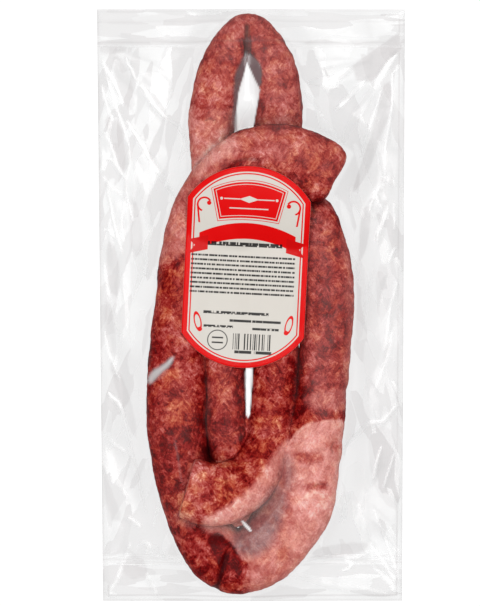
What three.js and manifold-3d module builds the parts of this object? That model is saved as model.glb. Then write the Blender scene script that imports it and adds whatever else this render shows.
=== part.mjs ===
// A clear sealed pouch drawn tight round two folded sausage ropes, with a domed label stuck on its front.
// Millimetres, +Z up. The pouch lies on its back with its front face up and its top seal towards +Y.
// The origin is the middle of the pouch on the surface that it lies on.

import * as THREE from "three";
import { mergeVertices } from "three/addons/utils/BufferGeometryUtils.js";
import Module from "manifold-3d";

// Pouch: two films welded round the edge, drawn in a little by what it holds
const POUCH_HALF_LENGTH = 192;
const POUCH_TOP_HALF_WIDTH = 100;
const POUCH_BOTTOM_LEFT = -96;
const POUCH_BOTTOM_RIGHT = 98;
const FILM_THICKNESS = 1;
const FILM_CELL = 11.5;

// Height of the film round the ropes: it meets their flanks and sinks to the table in soft waves
const FLANK_HEIGHT = 8;
const MARGIN_HEIGHT = 2.6;
const FLANK_FALL = 14;
const WAVE_HEIGHT = 1.1;
const WAVE_LENGTH = 46;

// Ropes: pressed round section with an uneven, hand-filled skin
const SECTION_SIDES = 14;
const SECTION_STEP = 11;
const OUTLINE_STEP = 3;
const SECTION_SQUARENESS = 2.35;
const UNEVENNESS = 0.03;
const KNOB_LENGTH = 37;
const CUT_END_SIZE = 0.9;
const TUCKED_END_SIZE = 0.72;
const CUT_DOME = 1.5;

// Label: paper with straight sides and domed ends, turned a little on the pouch
const LABEL_CENTRE = new THREE.Vector2(-3.3, 24.2);
const LABEL_TURN = THREE.MathUtils.degToRad(-2.8);
const LABEL_HALF_WIDTH = 39.6;
const LABEL_HALF_LENGTH = 64.8;
const LABEL_DOME_RADIUS = 47.5;
const LABEL_THICKNESS = 0.5;
const LABEL_CLEARANCE = 0.6;
const LABEL_BEND_RADIUS = 55;
const LABEL_COLUMNS = 12;
const LABEL_ROWS = 18;
const PROBE_STEP = 3;
const PROBE_REACH = 45;
const PROBE_MARGIN = 8;

// Routes of the ropes, seen from above. Each row is x, y, half width, underside, thickness.
// The outer rope starts at its cut end at the upper right, crosses over the inner rope, runs down the
// left, folds at the bottom and comes up the right to an end tucked under its own start.
const OUTER_ROPE_DOWN = [
  [55, 81, 18.5, 14, 25],
  [38.5, 89.5, 19.5, 18, 24.5],
  [22, 96, 19, 20.5, 25],
  [4.5, 97, 17.5, 20.5, 25.5],
  [-10, 89.5, 17.5, 18, 26],
  [-21, 78.5, 17.5, 12, 27],
  [-29, 67, 17, 5, 28.5],
  [-36, 54, 17, 1, 29],
  [-40, 34.5, 17, 0, 29],
  [-44, 2, 17, 0, 29],
  [-47.5, -29, 17.5, 0, 29],
  [-48, -62, 19, 0, 29.5],
  [-47, -88, 18.5, 0, 28.5],
  [-44, -107, 18, 0, 26],
  [-38.5, -127, 18, 0, 24],
  [-31.5, -146, 17.5, 0, 27],
  [-22.5, -162, 17.5, 0, 28],
  [-9, -169, 17, 0, 27],
  [5, -167.5, 16, 0, 26],
];
const OUTER_ROPE_UP = [
  [-22, -163, 16, 0, 26],
  [-9, -169, 17.5, 0, 27],
  [7, -163, 18.5, 0, 28],
  [23, -147, 19.5, 0, 28.5],
  [32.5, -132, 19, 0, 28.5],
  [39, -102, 17, 0, 28.5],
  [44, -65, 16, 0, 28.5],
  [48.5, -16, 16, 0, 28.5],
  [49, 6.5, 16.5, 0, 28.5],
  [47.5, 26, 16, 0, 28],
  [44, 40, 16, 0, 27],
  [39, 54.5, 16, 0, 24],
  [33, 67, 16, 0, 21],
];
// The inner rope starts at its cut end at the lower left, bends up between the outer legs, folds at the
// very top and comes back down to an end tucked under its own start.
const INNER_ROPE_UP = [
  [-41.5, -117.5, 19, 21, 25],
  [-26.5, -122, 19.5, 20.5, 25.5],
  [-12.5, -119.5, 19, 17, 26],
  [-0.5, -112, 17, 11, 26.5],
  [7, -100, 15.5, 5, 27],
  [11.5, -88, 14.5, 1, 27],
  [13.5, -71.5, 14.5, 0, 27],
  [15.5, -16, 14.5, 0, 27],
  [16, 55, 14.5, 0, 26],
  [17, 78, 14.5, 0, 23.5],
  [17, 114, 14.5, 0, 22.5],
  [18, 133, 13.5, 0, 25.5],
  [15.5, 147.5, 13.5, 0, 26],
  [12, 159, 13, 0, 25.5],
  [6.5, 169.5, 12, 1, 23],
  [-2, 177, 11.5, 1.5, 21],
  [-11, 171, 11, 2, 20],
];
const INNER_ROPE_DOWN = [
  [7, 171, 11, 2, 20],
  [-2, 177, 11.5, 1.5, 21],
  [-11, 169.5, 12, 1, 23],
  [-16, 159, 13.5, 0, 25.5],
  [-20, 147.5, 14.5, 0, 26],
  [-24, 133, 13.5, 0, 26],
  [-25.5, 117, 14, 0, 23.5],
  [-25, 101, 13.5, 0, 23],
  [-21.5, 68, 13.5, 0, 25],
  [-18, 3, 13, 0, 27],
  [-16, -52, 13, 0, 27],
  [-15, -81, 12.5, 0, 26],
  [-13.5, -104, 12.5, 0, 23],
  [-11, -123.5, 12.5, 0, 21.5],
  [-6.5, -143, 12.5, 0, 22],
];

const UP = new THREE.Vector3(0, 0, 1);

/** One stretch of rope: a smooth route with a width, an underside and a thickness all along it. */
class Stretch {
  constructor(rows, startSize, endSize) {
    this.route = new THREE.CatmullRomCurve3(
      rows.map(([x, y, , underside]) => new THREE.Vector3(x, y, underside)),
      false,
      "centripetal",
    );
    this.sizes = new THREE.CatmullRomCurve3(
      rows.map(([, , halfWidth, , thickness]) => new THREE.Vector3(halfWidth, thickness, 0)),
      false,
      "centripetal",
    );
    this.startSize = startSize;
    this.endSize = endSize;
    this.length = this.route.getLength();
    this.steps = Math.round(this.length / SECTION_STEP);
    const outlineSteps = Math.round(this.length / OUTLINE_STEP);
    this.outline = Array.from({ length: outlineSteps + 1 }, (_, i) => this.section(i / outlineSteps));
  }

  /** The section at a share of the length: its middle, its sideways direction and its half sizes. */
  section(share) {
    const place = this.route.getUtoTmapping(share);
    const underside = this.route.getPoint(place);
    const size = this.sizes.getPoint(place * (1 - 1e-9));
    const along = this.route.getTangent(place).setZ(0).normalize();
    const side = new THREE.Vector3().crossVectors(along, UP);
    const fromStart = THREE.MathUtils.smoothstep(share * this.length, 0, SECTION_STEP);
    const fromEnd = THREE.MathUtils.smoothstep((1 - share) * this.length, 0, SECTION_STEP);
    const taper =
      THREE.MathUtils.lerp(this.startSize, 1, fromStart) * THREE.MathUtils.lerp(this.endSize, 1, fromEnd);
    return {
      middle: new THREE.Vector3(underside.x, underside.y, Math.max(underside.z, 0) + size.y / 2),
      along,
      side,
      halfWidth: size.x * taper,
      halfHeight: (size.y / 2) * taper,
    };
  }

  /** A closed tube: a unit cylinder whose axis is laid along the route and whose rings take its sections. */
  geometry() {
    const tube = new THREE.CylinderGeometry(1, 1, 1, SECTION_SIDES, this.steps);
    tube.deleteAttribute("normal");
    tube.deleteAttribute("uv");
    const merged = mergeVertices(tube, 1e-5);
    const points = merged.getAttribute("position");
    const point = new THREE.Vector3();
    for (let i = 0; i < points.count; i++) {
      point.fromBufferAttribute(points, i);
      const share = THREE.MathUtils.clamp(point.y + 0.5, 0, 1);
      const { middle, along, side, halfWidth, halfHeight } = this.section(share);
      const swell = 1 + unevenness(share * this.length, Math.atan2(point.z, point.x));
      const outward = squared(point.x) * halfWidth * swell;
      const upward = squared(point.z) * halfHeight * (point.z > 0 ? swell : 1);
      const atCapCentre = Math.hypot(point.x, point.z) < 0.5;
      const dome = atCapCentre ? Math.sign(point.y) * CUT_DOME : 0;
      points.setXYZ(
        i,
        middle.x + side.x * outward + along.x * dome,
        middle.y + side.y * outward + along.y * dome,
        middle.z + upward,
      );
    }
    return merged;
  }

  /** How far a point in plan lies outside this stretch, negative under it. */
  distance(x, y) {
    return Math.min(
      ...this.outline.map(({ middle, halfWidth }) => Math.hypot(x - middle.x, y - middle.y) - halfWidth),
    );
  }
}

/** A coordinate on the unit circle, pushed towards a rounder-cornered box. */
function squared(value) {
  return Math.sign(value) * Math.abs(value) ** (2 / SECTION_SQUARENESS);
}

/** Share by which the skin swells at a place along a rope and round it. */
function unevenness(along, angle) {
  const slow = Math.sin((2 * Math.PI * along) / KNOB_LENGTH + Math.sin(angle));
  const quick = Math.sin((2 * Math.PI * along) / (0.43 * KNOB_LENGTH) + 2 * angle);
  return UNEVENNESS * (0.65 * slow + 0.35 * quick);
}

/** Left and right edge of the pouch at a height on it. */
function pouchEdges(y) {
  const down = (POUCH_HALF_LENGTH - y) / (2 * POUCH_HALF_LENGTH);
  return [
    THREE.MathUtils.lerp(-POUCH_TOP_HALF_WIDTH, POUCH_BOTTOM_LEFT, down),
    THREE.MathUtils.lerp(POUCH_TOP_HALF_WIDTH, POUCH_BOTTOM_RIGHT, down),
  ];
}

/** Height of the film's middle at a point in plan. */
function filmHeight(stretches, x, y) {
  const outside = Math.max(0, Math.min(...stretches.map((stretch) => stretch.distance(x, y))));
  const lengthwise = Math.sin((2 * Math.PI * y) / WAVE_LENGTH + x / 20);
  const crosswise = Math.cos((2 * Math.PI * x) / (2.3 * WAVE_LENGTH) - y / 35);
  const margin = MARGIN_HEIGHT + WAVE_HEIGHT * lengthwise * crosswise;
  return THREE.MathUtils.lerp(margin, FLANK_HEIGHT, Math.exp(-outside / FLANK_FALL));
}

/**
 * A thin closed slab over a grid, both faces split into triangles alike.
 * place(column, row) gives the middle of the slab at that grid point.
 */
function slab(columns, rows, thickness, place) {
  const across = columns + 1;
  const layer = across * (rows + 1);
  const positions = [];
  for (const half of [-thickness / 2, thickness / 2]) {
    for (let row = 0; row <= rows; row++) {
      for (let column = 0; column <= columns; column++) {
        const middle = place(column, row);
        positions.push(middle.x, middle.y, middle.z + half);
      }
    }
  }
  const triangles = [];
  for (let row = 0; row < rows; row++) {
    for (let column = 0; column < columns; column++) {
      const a = row * across + column;
      const b = a + 1;
      const c = a + across + 1;
      const d = a + across;
      triangles.push(a, c, b, a, d, c);
      triangles.push(layer + a, layer + b, layer + c, layer + a, layer + c, layer + d);
    }
  }
  const rim = [];
  for (let column = 0; column < columns; column++) rim.push(column);
  for (let row = 0; row < rows; row++) rim.push(row * across + columns);
  for (let column = columns; column > 0; column--) rim.push(rows * across + column);
  for (let row = rows; row > 0; row--) rim.push(row * across);
  rim.forEach((from, i) => {
    const to = rim[(i + 1) % rim.length];
    triangles.push(from, to, layer + to, from, layer + to, layer + from);
  });
  const geometry = new THREE.BufferGeometry();
  geometry.setAttribute("position", new THREE.Float32BufferAttribute(positions, 3));
  geometry.setIndex(triangles);
  return geometry;
}

/** The welded films round and between the ropes. */
function filmSlab(stretches) {
  const columns = Math.round((2 * POUCH_TOP_HALF_WIDTH) / FILM_CELL);
  const rows = Math.round((2 * POUCH_HALF_LENGTH) / FILM_CELL);
  return slab(columns, rows, FILM_THICKNESS, (column, row) => {
    const y = THREE.MathUtils.lerp(-POUCH_HALF_LENGTH, POUCH_HALF_LENGTH, row / rows);
    const [left, right] = pouchEdges(y);
    const x = THREE.MathUtils.lerp(left, right, column / columns);
    return new THREE.Vector3(x, y, filmHeight(stretches, x, y));
  });
}

/** Half length of the label at a share of its half width: straight sides under a round dome. */
function labelReach(share) {
  const across = share * LABEL_HALF_WIDTH;
  return LABEL_HALF_LENGTH - LABEL_DOME_RADIUS + Math.sqrt(LABEL_DOME_RADIUS ** 2 - across ** 2);
}

/** Heights of the pouch's front under the label, probed on an even grid from above. */
function probeFront(pouch) {
  const ray = new THREE.Raycaster();
  const down = new THREE.Vector3(0, 0, -1);
  const acrossReach = LABEL_HALF_WIDTH + PROBE_MARGIN;
  const alongReach = LABEL_HALF_LENGTH + PROBE_MARGIN;
  const probes = [];
  for (let x = LABEL_CENTRE.x - acrossReach; x < LABEL_CENTRE.x + acrossReach; x += PROBE_STEP) {
    for (let y = LABEL_CENTRE.y - alongReach; y < LABEL_CENTRE.y + alongReach; y += PROBE_STEP) {
      ray.set(new THREE.Vector3(x, y, 100), down);
      const [hit] = ray.intersectObject(pouch);
      if (hit) probes.push(hit.point);
    }
  }
  return probes;
}

/** The paper label, bent over the ropes like a stiff sheet that bridges the grooves between them. */
function labelSlab(pouch) {
  const probes = probeFront(pouch);
  const centre = new THREE.Vector2();
  return slab(LABEL_COLUMNS, LABEL_ROWS, LABEL_THICKNESS, (column, row) => {
    const share = (2 * column) / LABEL_COLUMNS - 1;
    const along = ((2 * row) / LABEL_ROWS - 1) * labelReach(share);
    const flat = new THREE.Vector2(share * LABEL_HALF_WIDTH, along);
    flat.rotateAround(centre, LABEL_TURN).add(LABEL_CENTRE);
    let height = 0;
    for (const probe of probes) {
      const apart = Math.hypot(probe.x - flat.x, probe.y - flat.y);
      if (apart < PROBE_REACH) height = Math.max(height, probe.z - apart ** 2 / (2 * LABEL_BEND_RADIUS));
    }
    return new THREE.Vector3(flat.x, flat.y, height + LABEL_CLEARANCE + LABEL_THICKNESS / 2);
  });
}

const wasm = await Module();
wasm.setup();

/** A closed geometry as a solid that can be joined. */
function toSolid(geometry) {
  return new wasm.Manifold(
    new wasm.Mesh({
      numProp: 3,
      vertProperties: new Float32Array(geometry.getAttribute("position").array),
      triVerts: new Uint32Array(geometry.index.array),
    }),
  );
}

/** The largest body of a joined solid as a geometry, without the hollows that joining seals. */
function toGeometry(solid) {
  const [body] = solid.decompose().sort((a, b) => b.volume() - a.volume());
  const mesh = body.getMesh();
  const geometry = new THREE.BufferGeometry();
  geometry.setAttribute("position", new THREE.BufferAttribute(new Float32Array(mesh.vertProperties), 3));
  geometry.setIndex(new THREE.BufferAttribute(new Uint32Array(mesh.triVerts), 1));
  return geometry;
}

/** A named mesh with its own material. */
function named(name, geometry, color, roughness) {
  const mesh = new THREE.Mesh(geometry, new THREE.MeshStandardMaterial({ color, roughness, metalness: 0 }));
  mesh.name = name;
  return mesh;
}

const stretches = [
  new Stretch(OUTER_ROPE_DOWN, CUT_END_SIZE, TUCKED_END_SIZE),
  new Stretch(OUTER_ROPE_UP, TUCKED_END_SIZE, TUCKED_END_SIZE),
  new Stretch(INNER_ROPE_UP, CUT_END_SIZE, TUCKED_END_SIZE),
  new Stretch(INNER_ROPE_DOWN, TUCKED_END_SIZE, TUCKED_END_SIZE),
];
const joined = stretches.reduce(
  (solid, stretch) => solid.add(toSolid(stretch.geometry())),
  toSolid(filmSlab(stretches)),
);
const bag = named("bag", toGeometry(joined), 0xa34a40, 0.25);
const label = named("label", labelSlab(bag), 0xe2ded2, 0.5);

const pack = new THREE.Group();
pack.add(bag, label);
export default pack;
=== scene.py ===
"""A sealed pack of smoked sausage: two folded ropes, the clear pouch drawn over them and its label.

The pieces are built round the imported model, which holds their places and sizes. Routes and sizes here
are in millimetres in the model's own frame, and places taken from the photograph are in its pixels.
"""

import logging
import math
from dataclasses import dataclass, field
from enum import Enum
from typing import Sequence

import bpy
import numpy as np
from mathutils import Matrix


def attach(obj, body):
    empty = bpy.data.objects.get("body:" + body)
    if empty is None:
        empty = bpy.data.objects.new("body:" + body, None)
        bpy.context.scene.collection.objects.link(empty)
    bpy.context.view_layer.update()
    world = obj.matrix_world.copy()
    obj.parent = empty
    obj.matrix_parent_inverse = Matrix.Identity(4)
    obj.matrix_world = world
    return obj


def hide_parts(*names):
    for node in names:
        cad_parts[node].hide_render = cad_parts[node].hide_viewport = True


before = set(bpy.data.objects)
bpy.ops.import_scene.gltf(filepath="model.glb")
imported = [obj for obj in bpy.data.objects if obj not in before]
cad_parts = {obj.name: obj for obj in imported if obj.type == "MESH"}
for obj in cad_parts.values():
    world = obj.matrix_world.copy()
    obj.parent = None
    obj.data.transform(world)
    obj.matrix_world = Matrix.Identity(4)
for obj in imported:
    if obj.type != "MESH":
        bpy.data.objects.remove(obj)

LOG = logging.getLogger("sausage_pack")
MM = 0.001

# Photograph: size of a pixel on the pack, and the pixel over the origin
PIXEL = 0.65
PHOTO_WIDTH, PHOTO_HEIGHT = 480, 606
ORIGIN_PX = (251.0, 305.0)
PHOTO_MIDDLE_PX = (PHOTO_WIDTH / 2, PHOTO_HEIGHT / 2)

Points = Sequence[tuple[float, float]]
Colour = tuple[float, float, float, float]


def srgb(red: int, green: int, blue: int) -> Colour:
    """A colour given in screen values, as the linear colour that a shader takes."""
    linear = [((c / 255 + 0.055) / 1.055) ** 2.4 if c > 10 else c / 3294.6 for c in (red, green, blue)]
    return (*linear, 1.0)


def to_pixels(x: np.ndarray, y: np.ndarray) -> tuple[np.ndarray, np.ndarray]:
    """Places in plan as pixels of the photograph."""
    return x / PIXEL + ORIGIN_PX[0], ORIGIN_PX[1] - y / PIXEL


def to_plan(points: Points) -> np.ndarray:
    """Pixels of the photograph as places in plan, in millimetres."""
    pixels = np.asarray(points, float)
    return np.column_stack(((pixels[:, 0] - ORIGIN_PX[0]) * PIXEL, (ORIGIN_PX[1] - pixels[:, 1]) * PIXEL))


def ease(value: np.ndarray, low: float, high: float) -> np.ndarray:
    """A smooth step from 0 at low to 1 at high, or down where high is the smaller."""
    share = np.clip((value - low) / (high - low), 0, 1)
    return share * share * (3 - 2 * share)


# Numbers for relief: seeded noise on a lattice


def lattice_random(ix: np.ndarray, iy: np.ndarray, iz: np.ndarray, seed: int) -> np.ndarray:
    """A fixed random number from 0 to 1 for each lattice cell.

    Args:
        ix: the cells' numbers across.
        iy: their numbers along.
        iz: their numbers up.
        seed: what tells one noise from another.

    Returns:
        The numbers.
    """
    mixed = (ix * 374761393 + iy * 668265263 + iz * 1440662683 + seed * 974634777) & 0xFFFFFFFF
    mixed = ((mixed ^ (mixed >> 13)) * 1274126177) & 0xFFFFFFFF
    mixed = ((mixed ^ (mixed >> 15)) * 2246822519) & 0xFFFFFFFF
    return (mixed ^ (mixed >> 16)) / 0xFFFFFFFF


def smooth_noise(points: np.ndarray, size: float, seed: int) -> np.ndarray:
    """Smooth noise from -1 to 1 whose features measure about size.

    Args:
        points: places in millimetres, one to a row.
        size: size of a feature in millimetres.
        seed: what tells one noise from another.

    Returns:
        The noise at the places.
    """
    scaled = points / size
    base = np.floor(scaled).astype(np.int64)
    share = scaled - base
    share = share * share * (3 - 2 * share)
    total = np.zeros(len(points))
    for dx in (0, 1):
        for dy in (0, 1):
            for dz in (0, 1):
                weight = np.ones(len(points))
                for axis, step in enumerate((dx, dy, dz)):
                    weight *= share[:, axis] if step else 1 - share[:, axis]
                total += weight * lattice_random(base[:, 0] + dx, base[:, 1] + dy, base[:, 2] + dz, seed)
    return 2 * total - 1


def lump_noise(points: np.ndarray, size: float, seed: int) -> np.ndarray:
    """Rounded lumps of about size: 1 on the middle of each and 0 where they meet.

    Args:
        points: places in millimetres, one to a row.
        size: size of a lump in millimetres.
        seed: what tells one set of lumps from another.

    Returns:
        The lumps' height at the places.
    """
    scaled = points / size
    base = np.floor(scaled).astype(np.int64)
    nearest = np.full(len(points), 9.0)
    for dx in (-1, 0, 1):
        for dy in (-1, 0, 1):
            for dz in (-1, 0, 1):
                cell = base + (dx, dy, dz)
                centre = cell + np.column_stack([lattice_random(*cell.T, seed + axis) for axis in range(3)])
                nearest = np.minimum(nearest, ((scaled - centre) ** 2).sum(1))
    return np.clip(1 - nearest, 0, 1)


def line_distance(x: np.ndarray, y: np.ndarray, line: np.ndarray) -> tuple[np.ndarray, np.ndarray]:
    """Distance in plan to a broken line, and the share of its length at the nearest point.

    Args:
        x: places across the pack in millimetres.
        y: places along it.
        line: the line's points in plan.

    Returns:
        The distance and the share.
    """
    nearest, share = np.full(x.shape, 1e9), np.zeros(x.shape)
    lengths = np.hypot(*np.diff(line, axis=0).T)
    before = 0.0
    for (ax, ay), (bx, by), length in zip(line[:-1], line[1:], lengths):
        along = np.clip(((x - ax) * (bx - ax) + (y - ay) * (by - ay)) / length**2, 0, 1)
        apart = np.hypot(x - ax - along * (bx - ax), y - ay - along * (by - ay))
        closer = apart < nearest
        nearest = np.where(closer, apart, nearest)
        share = np.where(closer, (before + along * length) / lengths.sum(), share)
        before += length
    return nearest, share


def inside_distance(x: np.ndarray, y: np.ndarray, corners: Points) -> np.ndarray:
    """Distance in plan to the edge of a patch given by its corners, positive inside it.

    Args:
        x: places across the pack in millimetres.
        y: places along it.
        corners: the patch's corners in pixels.

    Returns:
        The distance.
    """
    ring = to_plan([*corners, corners[0]])
    nearest, _ = line_distance(x, y, ring)
    inside = np.zeros(x.shape, bool)
    for (ax, ay), (bx, by) in zip(ring[:-1], ring[1:]):
        if ay != by:
            inside ^= ((ay > y) != (by > y)) & (x < (bx - ax) * (y - ay) / (by - ay) + ax)
    return np.where(inside, nearest, -nearest)


# Meshes


def new_piece(name: str, mesh: bpy.types.Mesh) -> bpy.types.Object:
    """A smooth object in the scene for a mesh.

    Args:
        name: the object's name.
        mesh: its mesh.

    Returns:
        The object.
    """
    mesh.shade_smooth()
    piece = bpy.data.objects.new(name, mesh)
    bpy.context.scene.collection.objects.link(piece)
    return piece


def mesh_of(name: str, points: np.ndarray, faces: np.ndarray) -> bpy.types.Mesh:
    """A mesh from points in millimetres and faces that all have as many corners.

    Args:
        name: the mesh's name.
        points: its points, one to a row.
        faces: the numbers of each face's points, one face to a row.

    Returns:
        The mesh, in metres.
    """
    mesh = bpy.data.meshes.new(name)
    mesh.vertices.add(len(points))
    mesh.vertices.foreach_set("co", (points * MM).astype(np.float32).ravel())
    corners = faces.shape[1]
    mesh.loops.add(faces.size)
    mesh.loops.foreach_set("vertex_index", faces.astype(np.int32).ravel())
    mesh.polygons.add(len(faces))
    mesh.polygons.foreach_set("loop_start", np.arange(0, faces.size, corners, dtype=np.int32))
    mesh.update(calc_edges=True)
    return mesh


def grid_faces(columns: int, rows: int) -> np.ndarray:
    """Square faces over a grid of points laid row by row, facing up when rows run along +Y.

    Args:
        columns: points in a row.
        rows: rows of points.

    Returns:
        The faces, one to a row.
    """
    corner = np.arange(rows - 1)[:, None] * columns + np.arange(columns - 1)[None, :]
    corner = corner.ravel()
    return np.column_stack((corner, corner + 1, corner + 1 + columns, corner + columns))


def add_values(mesh: bpy.types.Mesh, name: str, values: np.ndarray) -> None:
    """Keeps one number for each point of a mesh, for its material to read."""
    mesh.attributes.new(name, "FLOAT", "POINT").data.foreach_set("value", values.astype(np.float32).ravel())


def set_values(mesh: bpy.types.Mesh, name: str, values: np.ndarray) -> None:
    """Changes the numbers that a mesh keeps under a name."""
    mesh.attributes[name].data.foreach_set("value", values.astype(np.float32))


def read_values(mesh: bpy.types.Mesh, name: str) -> np.ndarray:
    """The numbers that a mesh keeps under a name.

    Args:
        mesh: the mesh.
        name: the name that it keeps them under.

    Returns:
        One number for each point.
    """
    read = np.zeros(len(mesh.vertices), np.float32)
    mesh.attributes[name].data.foreach_get("value", read)
    return read


def read_points(mesh: bpy.types.Mesh, what: str = "co") -> np.ndarray:
    """Places of a mesh's points in millimetres, or its normals where what is normal.

    Args:
        mesh: the mesh.
        what: co for places or normal for normals.

    Returns:
        One row for each point.
    """
    read = np.zeros(len(mesh.vertices) * 3, np.float32)
    mesh.vertices.foreach_get(what, read)
    return read.reshape(-1, 3).astype(float) * (1 if what == "normal" else 1 / MM)


# Shader maths


class Graph:
    """The node tree of one material."""

    def __init__(self, name: str) -> None:
        """Starts an empty tree.

        Args:
            name: the material's name.
        """
        self.material = bpy.data.materials.new(name)
        self.material.use_nodes = True
        self.tree = self.material.node_tree
        self.tree.nodes.clear()

    def add(self, kind: str, settings: dict | None = None, sockets: dict | None = None) -> bpy.types.Node:
        """Adds a node.

        Args:
            kind: its type, without the leading ShaderNode.
            settings: its properties, set first; stops are a ramp's (place, colour) pairs.
            sockets: values or links of its inputs, by name or number.

        Returns:
            The node.
        """
        node = self.tree.nodes.new("ShaderNode" + kind)
        for name, value in (settings or {}).items():
            if name == "stops":
                self.set_stops(node.color_ramp, value)
            else:
                setattr(node, name, value)
        for name, value in (sockets or {}).items():
            self.plug(node.inputs[name], value)
        return node

    def plug(self, socket: bpy.types.NodeSocket, value: object) -> None:
        """Links an input to a value or socket, or sets it to a plain number, vector or colour.

        Args:
            socket: the input.
            value: what it takes.
        """
        if isinstance(value, Value):
            value = value.socket
        if isinstance(value, bpy.types.NodeSocket):
            self.tree.links.new(value, socket)
        else:
            socket.default_value = value

    def set_stops(self, ramp: bpy.types.ColorRamp, stops: Sequence[tuple[float, Colour]]) -> None:
        """Gives a ramp its (place, colour) pairs.

        Args:
            ramp: the ramp.
            stops: its pairs, from low to high.
        """
        while len(ramp.elements) < len(stops):
            ramp.elements.new(1.0)
        for element, (place, colour) in zip(ramp.elements, stops):
            element.position, element.color = place, colour

    def value(
        self, kind: str, output: str, settings: dict | None = None, sockets: dict | None = None
    ) -> "Value":
        """Adds a node and returns one of its outputs, ready for maths."""
        return Value(self, self.add(kind, settings, sockets).outputs[output])

    def vector(self, operation: str, sockets: dict) -> bpy.types.NodeSocket:
        """A vector or colour worked out from others."""
        return self.add("VectorMath", {"operation": operation}, sockets).outputs["Vector"]

    def point(self, *numbers: "Value | float") -> bpy.types.NodeSocket:
        """A vector from its numbers, with 0 for those left out."""
        return self.add("CombineXYZ", sockets=dict(enumerate(numbers))).outputs["Vector"]

    def attribute(self, name: str) -> "Value":
        """The number that a mesh keeps under a name."""
        return self.value("Attribute", "Fac", {"attribute_name": name})

    def place(self) -> tuple["Value", "Value", "Value", bpy.types.NodeSocket]:
        """Place on the piece in millimetres: its three numbers and the vector.

        Returns:
            X, Y and Z, and the vector's socket.
        """
        local = self.add("TexCoord").outputs["Object"]
        scaled = self.vector("SCALE", {0: local, "Scale": 1 / MM})
        split = self.add("SeparateXYZ", sockets={0: scaled})
        return (*(Value(self, split.outputs[axis]) for axis in "XYZ"), scaled)

    def noise(
        self, place: bpy.types.NodeSocket, size: float, detail: float = 3, rough: float = 0.5, warp: float = 0
    ) -> "Value":
        """Noise from 0 to 1 with features of about size millimetres.

        Args:
            place: the vector that it reads.
            size: size of its features.
            detail: how many finer layers it has.
            rough: how strong each of those is.
            warp: how far it is twisted.

        Returns:
            The noise.
        """
        sockets = {
            "Vector": place,
            "Scale": 1 / size,
            "Detail": detail,
            "Roughness": rough,
            "Distortion": warp,
        }
        return self.value("TexNoise", "Fac", None, sockets)

    def bend(self, place: bpy.types.NodeSocket, size: float, reach: float) -> bpy.types.NodeSocket:
        """Places moved about by up to reach millimetres, by a noise of about size.

        Args:
            place: the places.
            size: size of the bends.
            reach: how far a place moves.

        Returns:
            The moved places.
        """
        sway = self.add("TexNoise", None, {"Vector": place, "Scale": 1 / size, "Detail": 1}).outputs["Color"]
        centred = self.vector("SUBTRACT", {0: sway, 1: (0.5, 0.5, 0.5)})
        return self.vector("MULTIPLY_ADD", {0: centred, 1: (2 * reach,) * 3, 2: place})

    def mix(self, share: "Value | float", first: object, second: object) -> bpy.types.NodeSocket:
        """A colour between two colours.

        Args:
            share: how much of the second colour there is.
            first: one colour.
            second: the other.

        Returns:
            The mixed colour's socket.
        """
        node = self.add("Mix", {"data_type": "RGBA"})
        colours = [s for s in node.inputs if s.type == "RGBA"]
        for socket, value in zip((node.inputs["Factor"], *colours), (share, first, second)):
            self.plug(socket, value)
        return next(s for s in node.outputs if s.type == "RGBA")

    def bump(self, height: "Value", strength: float, distance: float) -> bpy.types.NodeSocket:
        """A normal from a height, with distance in metres."""
        sockets = {"Height": height, "Strength": strength, "Distance": distance}
        return self.add("Bump", sockets=sockets).outputs["Normal"]

    def finish(self, shader: bpy.types.NodeSocket) -> bpy.types.Material:
        """Sends a shader to the output and returns the material."""
        self.add("OutputMaterial", sockets={"Surface": shader})
        return self.material


@dataclass(frozen=True)
class Value:
    """A number that changes over a surface: operators on it add Math nodes."""

    graph: Graph
    socket: bpy.types.NodeSocket

    def maths(self, operation: str, *others: "Value | float", swapped: bool = False) -> "Value":
        """One Math node.

        Args:
            operation: the node's operation.
            others: its further inputs.
            swapped: True where this value is the second input.

        Returns:
            The node's result.
        """
        inputs = [self, *others]
        if swapped:
            inputs[:2] = inputs[1::-1]
        return self.graph.value("Math", "Value", {"operation": operation}, dict(enumerate(inputs)))

    def __add__(self, other: "Value | float") -> "Value":
        """Sum."""
        return self.maths("ADD", other)

    __radd__ = __add__

    def __sub__(self, other: "Value | float") -> "Value":
        """Difference."""
        return self.maths("SUBTRACT", other)

    def __rsub__(self, other: float) -> "Value":
        """Difference from a number."""
        return self.maths("SUBTRACT", other, swapped=True)

    def __mul__(self, other: "Value | float") -> "Value":
        """Product."""
        return self.maths("MULTIPLY", other)

    __rmul__ = __mul__

    def __truediv__(self, other: "Value | float") -> "Value":
        """Quotient."""
        return self.maths("DIVIDE", other)

    def __pow__(self, other: float) -> "Value":
        """Power."""
        return self.maths("POWER", other)

    def __abs__(self) -> "Value":
        """Size without its sign."""
        return self.maths("ABSOLUTE")

    def least(self, other: "Value | float") -> "Value":
        """The smaller of two."""
        return self.maths("MINIMUM", other)

    def most(self, other: "Value | float") -> "Value":
        """The larger of two."""
        return self.maths("MAXIMUM", other)

    def clamp(self) -> "Value":
        """Held from 0 to 1."""
        return self.most(0.0).least(1.0)

    def ease(self, low: float, high: float) -> "Value":
        """A smooth step from 0 at low to 1 at high, or down where high is the smaller."""
        share = ((self - low) / (high - low)).clamp()
        return share * share * (3.0 - 2.0 * share)


# Finishes


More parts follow.
